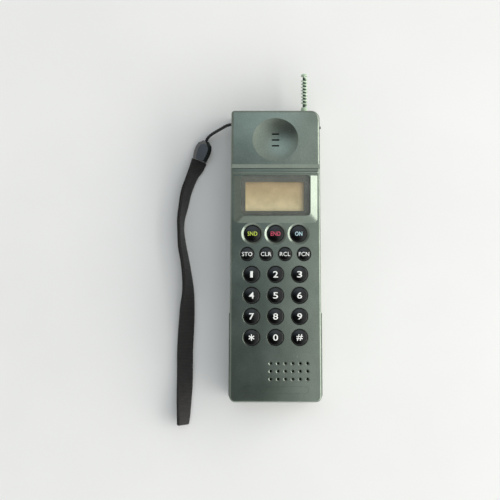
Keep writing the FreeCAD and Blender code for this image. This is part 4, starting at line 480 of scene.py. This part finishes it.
def flat_text(text, weight):
    """Mesh of a flat text, thickened all round by a share of its size."""
    curve = bpy.data.curves.new("lettering", "FONT")
    curve.body = text
    curve.offset = weight
    curve.space_character = LETTER_SPACING + 2 * weight
    curve.resolution_u = 4
    holder = bpy.data.objects.new("lettering", curve)
    scene.collection.objects.link(holder)
    bpy.context.view_layer.update()
    mesh = bpy.data.meshes.new_from_object(holder)
    bpy.data.objects.remove(holder)
    return mesh


def star_outline(reach, half):
    """Six-armed star: each arm has two tip corners, and two arms meet at twice the half width."""
    arm = math.pi / 2 + np.arange(6) * math.pi / 3
    way = np.column_stack([np.cos(arm), np.sin(arm)])
    side = np.column_stack([-np.sin(arm), np.cos(arm)])
    gap = arm + math.pi / 6
    inner = 2 * half * np.column_stack([np.cos(gap), np.sin(gap)])
    tip = way * reach
    return np.stack([tip - side * half, tip + side * half, inner], axis=1).reshape(-1, 2)


def star_mesh():
    """The star as a fan of triangles round its middle."""
    rim = star_outline(1.0, STAR_ARM_HALF)
    mesh = bpy.data.meshes.new("star")
    points = np.vstack([[0, 0], rim])
    mesh.from_pydata([(x, y, 0) for x, y in points.tolist()], [],
                     [(0, 1 + index, 1 + (index + 1) % len(rim)) for index in range(len(rim))])
    return mesh


def legend(node, text, width, height, body):
    """Text over the middle of a key: z = top - R + sqrt(R squared - x squared - y squared)."""
    low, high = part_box(node)
    weight = WORD_WEIGHT if len(text) > 1 else DIGIT_WEIGHT
    mesh = star_mesh() if text == "*" else flat_text(text, weight)
    points = mesh_points(mesh)[:, :2]
    grow = np.array([width, height]) * MM / np.ptp(points, axis=0)
    points = (points - (points.max(axis=0) + points.min(axis=0)) / 2) * grow
    flat = np.column_stack([points, np.zeros(len(points))])
    mesh.vertices.foreach_set("co", flat.ravel())
    shape = bmesh.new()
    shape.from_mesh(mesh)
    bmesh.ops.triangulate(shape, faces=shape.faces)
    for _ in range(SPLIT_ROUNDS):
        long_edges = [edge for edge in shape.edges if edge.calc_length() > LONGEST_EDGE]
        if long_edges:
            bmesh.ops.subdivide_edges(shape, edges=long_edges, cuts=1)
            bmesh.ops.triangulate(shape, faces=shape.faces)
    shape.to_mesh(mesh)
    shape.free()
    flat = mesh_points(mesh)
    reach = flat[:, 0] ** 2 + flat[:, 1] ** 2
    centre = (low + high) / 2
    flat[:, 2] = high.z - CROWN_RADIUS + np.sqrt(CROWN_RADIUS**2 - reach) + INK_LIFT
    flat[:, 0] += centre.x
    flat[:, 1] += centre.y
    mesh.vertices.foreach_set("co", flat.ravel())
    piece = bpy.data.objects.new("legend_" + node.removeprefix("key_"), mesh)
    scene.collection.objects.link(piece)
    skin = piece.modifiers.new("ink", "SOLIDIFY")
    skin.thickness = INK_THICKNESS
    skin.offset = -1
    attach(piece, body)
    return piece


body_of = {
    name: body for body, names in frame["record"]["behaviour"]["bodies"].items() for name in names
}
legends = {
    node: legend(node, text, width, height, body_of[node])
    for node, (text, width, height, _) in LEGENDS.items()
}
print("legends", len(legends))

# %% [markdown]
# A finish is a small tree of nodes. One function adds a node with its settings, colour stops and
# links; colours are written as sRGB hex and turned linear once; a pattern's scale follows from its
# size in millimetres.

# %% Helpers for finishes
def linear(code):
    """Linear colour with alpha from an sRGB hex code."""
    parts = [int(code[start:start + 2], 16) / 255 for start in (1, 3, 5)]
    return [p / 12.92 if p <= 0.04045 else ((p + 0.055) / 1.055) ** 2.4 for p in parts] + [1]


def add(tree, kind, settings=(), stops=(), **links):
    """Add a node: settings fill its properties and sockets, stops its ramp, links its inputs."""
    made = tree.nodes.new(kind)
    for name, value in dict(settings).items():
        if isinstance(name, str) and hasattr(made, name) and name not in made.inputs:
            setattr(made, name, value)
        else:
            made.inputs[name].default_value = value
    if stops:
        elements = made.color_ramp.elements
        while len(elements) < len(stops):
            elements.new(0.5)
        for element, (position, code) in zip(elements, stops):
            element.position = position
            element.color = linear(code)
    for name, source in links.items():
        socket = made.inputs[int(name[1:]) if name[:1] == "_" else name.replace("_", " ")]
        tree.links.new(source, socket)
    return made


def per_mm(width):
    """Scale of a pattern on coordinates in metres whose features are this many mm wide."""
    return 1000 / width


def new_finish(name):
    """An empty material with its shader and output already joined."""
    finish = bpy.data.materials.new(name)
    finish.use_nodes = True
    tree = finish.node_tree
    tree.nodes.clear()
    shader = tree.nodes.new("ShaderNodeBsdfPrincipled")
    out = tree.nodes.new("ShaderNodeOutputMaterial")
    tree.links.new(shader.outputs["BSDF"], out.inputs["Surface"])
    place = tree.nodes.new("ShaderNodeTexCoord").outputs["Object"]
    return finish, tree, shader, place


# %% [markdown]
# The case is moulded plastic, sprayed with a grey-green metallic lacquer. Flakes in it make a
# grain of half a millimetre here, coarser than the real one so that it shows; handling has dulled
# it in clouds and left small pale chips. The face shines as if it were nearly two millimetres
# fuller in the middle than at its sides, so a bump of minus x squared over twice the bow's radius
# tilts its shine.

# %% Metallic lacquer on the case
FACE_BOW_RADIUS = 240 * MM


def metallic_lacquer():
    """Grey-green flakes in clouds, worn pale at a few small round chips."""
    finish, tree, shader, place = new_finish("metallic_lacquer_on_plastic")
    clouds = add(tree, "ShaderNodeTexNoise", {"Scale": per_mm(30), "Detail": 4, "Roughness": 0.6},
                 Vector=place)
    base = add(tree, "ShaderNodeValToRGB", stops=[(0.35, "#858f84"), (0.65, "#959f94")],
               Fac=clouds.outputs["Fac"])
    grain = add(tree, "ShaderNodeTexNoise", {"Scale": per_mm(0.55), "Detail": 2}, Vector=place)
    flakes = add(tree, "ShaderNodeValToRGB", stops=[(0.35, "#8a8a8a"), (0.65, "#d8dcd8")],
                 Fac=grain.outputs["Fac"])
    tinted = add(tree, "ShaderNodeMix", {"data_type": "RGBA", "blend_type": "MULTIPLY", 0: 0.35},
                 _6=base.outputs["Color"], _7=flakes.outputs["Color"])
    cells = add(tree, "ShaderNodeTexVoronoi", {"Scale": per_mm(5), "Randomness": 1}, Vector=place)
    chip = add(tree, "ShaderNodeMapRange",
               {"From Min": 0.03, "From Max": 0.06, "To Min": 1, "To Max": 0},
               Value=cells.outputs["Distance"])
    rare = add(tree, "ShaderNodeSeparateColor", Color=cells.outputs["Color"])
    picked = add(tree, "ShaderNodeMath", {"operation": "GREATER_THAN", 1: 0.72},
                 _0=rare.outputs["Red"])
    worn = add(tree, "ShaderNodeMath", {"operation": "MULTIPLY"}, _0=chip.outputs["Result"],
               _1=picked.outputs["Value"])
    pale = add(tree, "ShaderNodeRGB")
    pale.outputs[0].default_value = linear("#c9d2ca")
    colour = add(tree, "ShaderNodeMix", {"data_type": "RGBA"}, _0=worn.outputs["Value"],
                 _6=tinted.outputs[2], _7=pale.outputs[0])
    rough = add(tree, "ShaderNodeMapRange", {"To Min": 0.24, "To Max": 0.36},
                Value=clouds.outputs["Fac"])
    split = add(tree, "ShaderNodeSeparateXYZ", Vector=place)
    bow = add(tree, "ShaderNodeMath", {"operation": "POWER", 1: 2}, _0=split.outputs["X"])
    crown = add(tree, "ShaderNodeBump", {"Strength": 1, "Distance": -0.5 / FACE_BOW_RADIUS},
                Height=bow.outputs["Value"])
    bump = add(tree, "ShaderNodeBump", {"Strength": 0.12, "Distance": 0.05 * MM},
               Height=grain.outputs["Fac"], Normal=crown.outputs["Normal"])
    shader.inputs["Metallic"].default_value = 0.93
    tree.links.new(colour.outputs[2], shader.inputs["Base Color"])
    tree.links.new(rough.outputs["Result"], shader.inputs["Roughness"])
    tree.links.new(bump.outputs["Normal"], shader.inputs["Normal"])
    return finish


# %% [markdown]
# The other finishes are plain mouldings, metals, rubbers and boards. They share one recipe: two
# close colours mixed by clouds of a given size, a roughness that varies with them and a fine bump.

# %% Shared recipe
def clouded(name, dark, light, size, rough, grain, depth, metallic=0.0, coat=0.0):
    """Two colours in clouds, roughness between two values, and a grain; sizes in millimetres."""
    finish, tree, shader, place = new_finish(name)
    clouds = add(tree, "ShaderNodeTexNoise", {"Scale": per_mm(size), "Detail": 3}, Vector=place)
    colour = add(tree, "ShaderNodeValToRGB", stops=[(0.35, dark), (0.65, light)],
                 Fac=clouds.outputs["Fac"])
    dull = add(tree, "ShaderNodeMapRange", {"To Min": rough[0], "To Max": rough[1]},
               Value=clouds.outputs["Fac"])
    fine = add(tree, "ShaderNodeTexNoise", {"Scale": per_mm(grain), "Detail": 2}, Vector=place)
    bump = add(tree, "ShaderNodeBump", {"Strength": 0.25, "Distance": depth * MM},
               Height=fine.outputs["Fac"])
    shader.inputs["Metallic"].default_value = metallic
    shader.inputs["Coat Weight"].default_value = coat
    tree.links.new(colour.outputs["Color"], shader.inputs["Base Color"])
    tree.links.new(dull.outputs["Result"], shader.inputs["Roughness"])
    tree.links.new(bump.outputs["Normal"], shader.inputs["Normal"])
    return finish


# %% [markdown]
# The antenna's core is moulded in two greens: dark where the wire winds round it, pale at the tip.

# %% Antenna core
def two_green_nylon():
    """Nylon whose colour goes from dark to pale green over the last millimetre of the coil."""
    finish, tree, shader, place = new_finish("two_green_nylon")
    split = add(tree, "ShaderNodeSeparateXYZ", Vector=place)
    tip_span = {"From Min": coil_high - 1.0 * MM, "From Max": coil_high}
    along = add(tree, "ShaderNodeMapRange", tip_span, Value=split.outputs["Y"])
    clouds = add(tree, "ShaderNodeTexNoise", {"Scale": per_mm(1.2), "Detail": 2}, Vector=place)
    mixed = add(tree, "ShaderNodeMath", {"operation": "MULTIPLY_ADD", 1: 0.2},
                _0=clouds.outputs["Fac"], _2=along.outputs["Result"])
    greens = [(0.05, "#1d3325"), (0.18, "#2c4a35"), (1.0, "#b4c8ae")]
    colour = add(tree, "ShaderNodeValToRGB", stops=greens, Fac=mixed.outputs["Value"])
    shader.inputs["Roughness"].default_value = 0.45
    tree.links.new(colour.outputs["Color"], shader.inputs["Base Color"])
    return finish


# %% [markdown]
# Acrylic is clear with a faint grey, and its surface has a slight haze that only changes how rough
# it is. Light on its way to what lies behind goes straight through. The liquid crystal cell behind
# it is a warm amber plate with painted shade: its colour is lightest at its lower edge and darkens
# towards its upper edge.

# %% Window and display
def clear_acrylic():
    """Clear sheet for the camera, and nothing at all for shadow and diffuse rays."""
    finish, tree, shader, place = new_finish("clear_acrylic_sheet")
    haze = add(tree, "ShaderNodeTexNoise", {"Scale": per_mm(5), "Detail": 5}, Vector=place)
    tint = add(tree, "ShaderNodeValToRGB", stops=[(0.3, "#e9ebe6"), (0.7, "#f7f8f5")],
               Fac=haze.outputs["Fac"]).outputs["Color"]
    dull = add(tree, "ShaderNodeMapRange", {"To Min": 0.03, "To Max": 0.09},
               Value=haze.outputs["Fac"])
    shader.inputs["Transmission Weight"].default_value = 1.0
    shader.inputs["IOR"].default_value = 1.49
    tree.links.new(tint, shader.inputs["Base Color"])
    tree.links.new(dull.outputs["Result"], shader.inputs["Roughness"])
    rays = add(tree, "ShaderNodeLightPath")
    passing = add(tree, "ShaderNodeMath", {"operation": "MAXIMUM"},
                  _0=rays.outputs["Is Shadow Ray"], _1=rays.outputs["Is Diffuse Ray"])
    clear = add(tree, "ShaderNodeBsdfTransparent", Color=tint)
    both = add(tree, "ShaderNodeMixShader", _0=passing.outputs["Value"],
               _1=shader.outputs["BSDF"], _2=clear.outputs["BSDF"])
    tree.links.new(both.outputs["Shader"], tree.nodes["Material Output"].inputs["Surface"])
    return finish


def liquid_crystal():
    """Amber cell with faint clouds, darkened by painted shade from its lower to its upper edge."""
    finish, tree, shader, place = new_finish("liquid_crystal_cell")
    low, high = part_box("display_glass")
    split = add(tree, "ShaderNodeSeparateXYZ", Vector=place)
    height = add(tree, "ShaderNodeMapRange", {"From Min": low.y, "From Max": high.y},
                 Value=split.outputs["Y"])
    clouds = add(tree, "ShaderNodeTexNoise", {"Scale": per_mm(9), "Detail": 3}, Vector=place)
    mixed = add(tree, "ShaderNodeMath", {"operation": "MULTIPLY_ADD", 1: 0.22},
                _0=clouds.outputs["Fac"], _2=height.outputs["Result"])
    # Painted shade: the height up the cell picks these ambers, light at the lower edge and dark at
    # the upper.
    painted_shade_ambers = [(0.1, "#fbe6bd"), (0.6, "#e4c79c"), (1.0, "#cbab82")]
    colour = add(tree, "ShaderNodeValToRGB", stops=painted_shade_ambers, Fac=mixed.outputs["Value"])
    fine = add(tree, "ShaderNodeTexNoise", {"Scale": per_mm(0.5), "Detail": 2}, Vector=place)
    bump = add(tree, "ShaderNodeBump", {"Strength": 0.15, "Distance": 0.02 * MM},
               Height=fine.outputs["Fac"])
    shader.inputs["Roughness"].default_value = 0.45
    tree.links.new(colour.outputs["Color"], shader.inputs["Base Color"])
    tree.links.new(bump.outputs["Normal"], shader.inputs["Normal"])
    return finish


# %% [markdown]
# Nylon webbing has ribs across it, crossed by warp threads along it. Both come from waves on the
# strip's own map, which counts millimetres along and across the cloth. A wave texture of scale 1
# repeats every 0.314 of its map, so its scale is 0.314 over the spacing in millimetres.

# %% Webbing and cord
WAVE_PERIOD = 0.314
RIB_SPACING = 0.95
WARP_SPACING = 0.7
YARN_SCALE = 0.9


def ribbed_nylon():
    """Black ribs and warp threads, dimmed in patches by dust."""
    finish, tree, shader, _ = new_finish("woven_nylon_webbing")
    cloth = add(tree, "ShaderNodeUVMap").outputs["UV"]
    along = add(tree, "ShaderNodeTexWave", {
        "wave_type": "BANDS", "bands_direction": "X", "Scale": WAVE_PERIOD / RIB_SPACING,
        "Distortion": 0.6, "Detail": 1, "Detail Scale": 1.5,
    }, Vector=cloth)
    across_map = add(tree, "ShaderNodeTexWave", {
        "wave_type": "BANDS", "bands_direction": "Y", "Scale": WAVE_PERIOD / WARP_SPACING,
        "Distortion": 0.4, "Detail": 1,
    }, Vector=cloth)
    ribs = add(tree, "ShaderNodeMath", {"operation": "MULTIPLY_ADD", 1: 0.45},
               _0=across_map.outputs["Fac"], _2=along.outputs["Fac"])
    dust = add(tree, "ShaderNodeTexNoise", {"Scale": 0.35, "Detail": 5}, Vector=cloth)
    level = add(tree, "ShaderNodeMath", {"operation": "MULTIPLY"}, _0=ribs.outputs["Value"],
                _1=dust.outputs["Fac"])
    colour = add(tree, "ShaderNodeValToRGB", stops=[(0.1, "#0e0d0c"), (0.75, "#2b2724")],
                 Fac=level.outputs["Value"])
    bump = add(tree, "ShaderNodeBump", {"Strength": 0.8, "Distance": 0.25 * MM},
               Height=ribs.outputs["Value"])
    shader.inputs["Roughness"].default_value = 0.75
    shader.inputs["Sheen Weight"].default_value = 0.15
    tree.links.new(colour.outputs["Color"], shader.inputs["Base Color"])
    tree.links.new(bump.outputs["Normal"], shader.inputs["Normal"])
    return finish


def laid_nylon():
    """Black yarns that run slantwise round each strand."""
    finish, tree, shader, _ = new_finish("laid_nylon_cord")
    cloth = add(tree, "ShaderNodeUVMap").outputs["UV"]
    yarn = add(tree, "ShaderNodeTexWave", {
        "wave_type": "BANDS", "bands_direction": "DIAGONAL", "Scale": YARN_SCALE,
        "Distortion": 0.5,
    }, Vector=cloth)
    colour = add(tree, "ShaderNodeValToRGB", stops=[(0.2, "#0a0a0b"), (0.9, "#242426")],
                 Fac=yarn.outputs["Fac"])
    bump = add(tree, "ShaderNodeBump", {"Strength": 0.6, "Distance": 0.1 * MM},
               Height=yarn.outputs["Fac"])
    shader.inputs["Roughness"].default_value = 0.6
    shader.inputs["Sheen Weight"].default_value = 0.2
    tree.links.new(colour.outputs["Color"], shader.inputs["Base Color"])
    tree.links.new(bump.outputs["Normal"], shader.inputs["Normal"])
    return finish


# %% [markdown]
# Each of the record's material slots gets its finish, and every node is given the one that its
# slot names. New pieces take theirs by hand, and so do the antenna's core and the microphone. A
# row gives the finish's name, two colours, the clouds' size in mm, the least and most roughness,
# the grain's size and depth in mm and, where they aren't 0, how metallic it is and its coat.

# %% Give every piece its finish
PLAIN_FINISHES = {
    "display_light": ("frosted_acrylic_guide", "#d8dcd0", "#e8ebe0", 6, (0.35, 0.5), 0.4, 0.02),
    "white_plastic": ("moulded_white_abs", "#d6d6d0", "#e4e4de", 8, (0.4, 0.55), 0.4, 0.02),
    "strip_rubber": ("layered_silicone_strip", "#8a4a54", "#a05c66", 1.2, (0.5, 0.6), 0.3, 0.03),
    "key_gloss": ("polished_black_acrylic", "#040404", "#0a0a0a", 4, (0.12, 0.2), 0.5, 0.006),
    "key_rubber": ("grey_silicone_rubber", "#2e2e30", "#3a3a3c", 5, (0.6, 0.75), 0.4, 0.03),
    "board_green": ("solder_mask_on_glass_fibre", "#12402a", "#1d5b3b", 2, (0.25, 0.4), 0.7, 0.03),
    "chip_black": ("moulded_epoxy", "#121213", "#1d1d1f", 2, (0.5, 0.65), 0.2, 0.02),
    "can_steel": ("tinned_steel_sheet", "#a8a8a4", "#c4c4c0", 5, (0.28, 0.42), 0.3, 0.01, 1.0),
    "silvered_ceramic": (
        "silvered_ceramic_block", "#b8b8b4", "#d0d0cc", 3, (0.3, 0.45), 0.3, 0.02, 0.9
    ),
    "screw_steel": ("blackened_steel", "#4c4c4e", "#66666a", 2, (0.3, 0.45), 0.2, 0.01, 1.0),
    "black_plastic": ("moulded_black_nylon", "#0c0c0d", "#161617", 6, (0.4, 0.55), 0.35, 0.03),
    "speaker_can": ("moulded_speaker_housing", "#19191b", "#252527", 4, (0.45, 0.6), 0.4, 0.03),
    "foam": ("closed_cell_foam", "#19191a", "#29292b", 0.8, (0.85, 0.95), 0.35, 0.15),
    "gold_spring": ("gold_plated_spring", "#c79a3e", "#dcb45a", 2, (0.2, 0.35), 0.2, 0.01, 1.0),
    "rod_steel": ("plated_steel_rod", "#b2b5b8", "#cfd1d3", 3, (0.1, 0.2), 0.3, 0.005, 1.0),
    "coil_wire": ("green_coated_wire", "#a9c2a4", "#dcebd6", 1.5, (0.3, 0.45), 0.3, 0.02),
    "pale_green": ("moulded_green_nylon", "#9fb79b", "#c3d6bd", 2, (0.4, 0.55), 0.3, 0.02),
    "cell_can": ("nickelled_cell_can", "#a8aaac", "#c2c4c6", 6, (0.25, 0.4), 0.4, 0.01, 1.0),
    "nickel_strip": ("nickel_strip", "#b8b5ac", "#cfccc2", 2, (0.25, 0.35), 0.2, 0.01, 1.0),
    "slider_gloss": (
        "polished_black_moulding", "#0a0d13", "#151a22", 5, (0.12, 0.2), 0.5, 0.01, 0.0, 1.0
    ),
    "plug_rubber": ("black_rubber_plug", "#101010", "#1b1b1b", 1, (0.6, 0.7), 0.3, 0.03),
}
finishes = {slot: clouded(*row) for slot, row in PLAIN_FINISHES.items()}
finishes.update({
    "case_paint": metallic_lacquer(),
    "window": clear_acrylic(),
    "display_glass": liquid_crystal(),
    "cord_black": laid_nylon(),
    "webbing_black": ribbed_nylon(),
})

INK_COLOURS = {
    "white": ("#eceee9", "#f8f9f5"),
    "lime": ("#b9cc3c", "#cfe052"),
    "rose": ("#c83e5a", "#de5570"),
    "ice": ("#b9e2ec", "#d6f2f7"),
}
inks = {
    name: clouded(name + "_screen_ink", dark, light, 1, (0.4, 0.5), 0.2, 0.004)
    for name, (dark, light) in INK_COLOURS.items()
}
inks["border"] = clouded("grey_border_ink", "#59584f", "#66655b", 7, (0.45, 0.55), 0.4, 0.01)


def give(piece, finish):
    """Make a finish the only one on a piece."""
    piece.data.materials.clear()
    piece.data.materials.append(finish)


for part in frame["record"]["subparts"]:
    give(frame["nodes"][part["node"]], finishes[part["material_slot"]])
give(cord, finishes["cord_black"])
give(webbing, finishes["webbing_black"])
give(coil, finishes["coil_wire"])
give(frame["nodes"]["antenna_core"], two_green_nylon())
# The microphone takes the dark foam finish, and that is what shows through its holes.
give(frame["nodes"]["microphone"], finishes["foam"])
give(pane, finishes["window"])
give(border, inks["border"])
for node, (_, _, _, ink) in LEGENDS.items():
    give(legends[node], inks[ink])
print("finishes", len(finishes) + len(inks))

# %% [markdown]
# The table is pale and matt. A wide soft lamp stands low at the right, as a window would, so edges
# that face it shine and a soft shadow falls to the left; the world's light fills the rest.

# %% Table and light
FLOOR_HALF = 2.5
FLOOR_DROP = 0.02 * MM
LAMP_PLACE = Vector((1.5, 0.05, 0.62))
LAMP_AIM = Vector((0, 0, 0.01))
LAMP_SPAN = (2.6, 1.0)
LAMP_POWER = 26


def table_top():
    """Pale board with faint wide clouds and next to no shine."""
    finish, tree, shader, place = new_finish("matt_white_board")
    clouds = add(tree, "ShaderNodeTexNoise", {"Scale": per_mm(120), "Detail": 3}, Vector=place)
    colour = add(tree, "ShaderNodeValToRGB", stops=[(0.3, "#f1f0ee"), (0.7, "#f6f5f3")],
                 Fac=clouds.outputs["Fac"])
    shader.inputs["Roughness"].default_value = 0.9
    tree.links.new(colour.outputs["Color"], shader.inputs["Base Color"])
    return finish


corners = np.array([(-1, -1), (1, -1), (1, 1), (-1, 1)]) * FLOOR_HALF
floor_mesh = bpy.data.meshes.new("table_top")
floor_mesh.from_pydata([(x, y, -FLOOR_DROP) for x, y in corners.tolist()], [], [(0, 1, 2, 3)])
floor = bpy.data.objects.new("table_top", floor_mesh)
scene.collection.objects.link(floor)
give(floor, table_top())

lamp = bpy.data.lights.new("window_light", "AREA")
lamp.shape = "RECTANGLE"
lamp.size, lamp.size_y = LAMP_SPAN
lamp.energy = LAMP_POWER
lamp.color = linear("#fffdf6")[:3]
window_light = bpy.data.objects.new("window_light", lamp)
window_light.location = LAMP_PLACE
window_light.rotation_euler = (LAMP_AIM - LAMP_PLACE).to_track_quat("-Z", "Y").to_euler()
scene.collection.objects.link(window_light)

# %% [markdown]
# The room is bright near the horizon, most of all at the lower right, and has one dark patch a
# little left of overhead, so flat glossy faces stay deep while rounded edges shine. A cool patch
# of sky lies beyond the antenna. Rays from the camera see a plain pale room instead.

# %% Room
BRIGHT_WAY = (0.78, -0.62, 0)
DARK_WAY = (-0.27, -0.24, 0.933)
COOL_WAY = (-0.10, 0.36, 0.928)

world = bpy.data.worlds.new("room")
world.use_nodes = True
scene.world = world
room = world.node_tree
room.nodes.clear()
way = add(room, "ShaderNodeTexCoord").outputs["Generated"]


def by_direction(toward, low, high, start=-1.0, end=1.0, kind="LINEAR"):
    """Value from low to high as the dot product of a ray and a way goes from start to end."""
    facing = add(room, "ShaderNodeVectorMath", {"operation": "DOT_PRODUCT", 1: toward}, _0=way)
    spread = {"interpolation_type": kind, "From Min": start, "From Max": end,
              "To Min": low, "To Max": high}
    return add(room, "ShaderNodeMapRange", spread, Value=facing.outputs["Value"]).outputs["Result"]


height = add(room, "ShaderNodeSeparateXYZ", Vector=way)
band_stops = [(0.0, "#ffffff"), (0.5, "#f4f5f5"), (0.9, "#eceeee")]
band = add(room, "ShaderNodeValToRGB", stops=band_stops, Fac=height.outputs["Z"])
band.color_ramp.interpolation = "EASE"
bright = by_direction(BRIGHT_WAY, low=0.35, high=1.4)
dark = by_direction(DARK_WAY, low=1, high=0.03, start=0.86, end=0.97, kind="SMOOTHSTEP")
cool = by_direction(COOL_WAY, low=0, high=0.9, start=0.9, end=1.0, kind="SMOOTHSTEP")
level = add(room, "ShaderNodeMath", {"operation": "MULTIPLY"}, _0=bright, _1=dark)
cool_sky = add(room, "ShaderNodeBackground", {"Color": linear("#b9d3e6")}, Strength=cool)
ring_light = add(room, "ShaderNodeBackground", Color=band.outputs["Color"],
                 Strength=level.outputs["Value"])
lit_room = add(room, "ShaderNodeAddShader", _0=ring_light.outputs["Background"],
               _1=cool_sky.outputs["Background"])
plain = add(room, "ShaderNodeBackground", {"Color": linear("#f2f2f0"), "Strength": 1.0})
rays = add(room, "ShaderNodeLightPath")
seen = add(room, "ShaderNodeMixShader", _0=rays.outputs["Is Camera Ray"],
           _1=lit_room.outputs["Shader"], _2=plain.outputs["Background"])
add(room, "ShaderNodeOutputWorld", Surface=seen.outputs["Shader"])
scene.view_settings.view_transform = "Standard"
print("lamp and table ready")
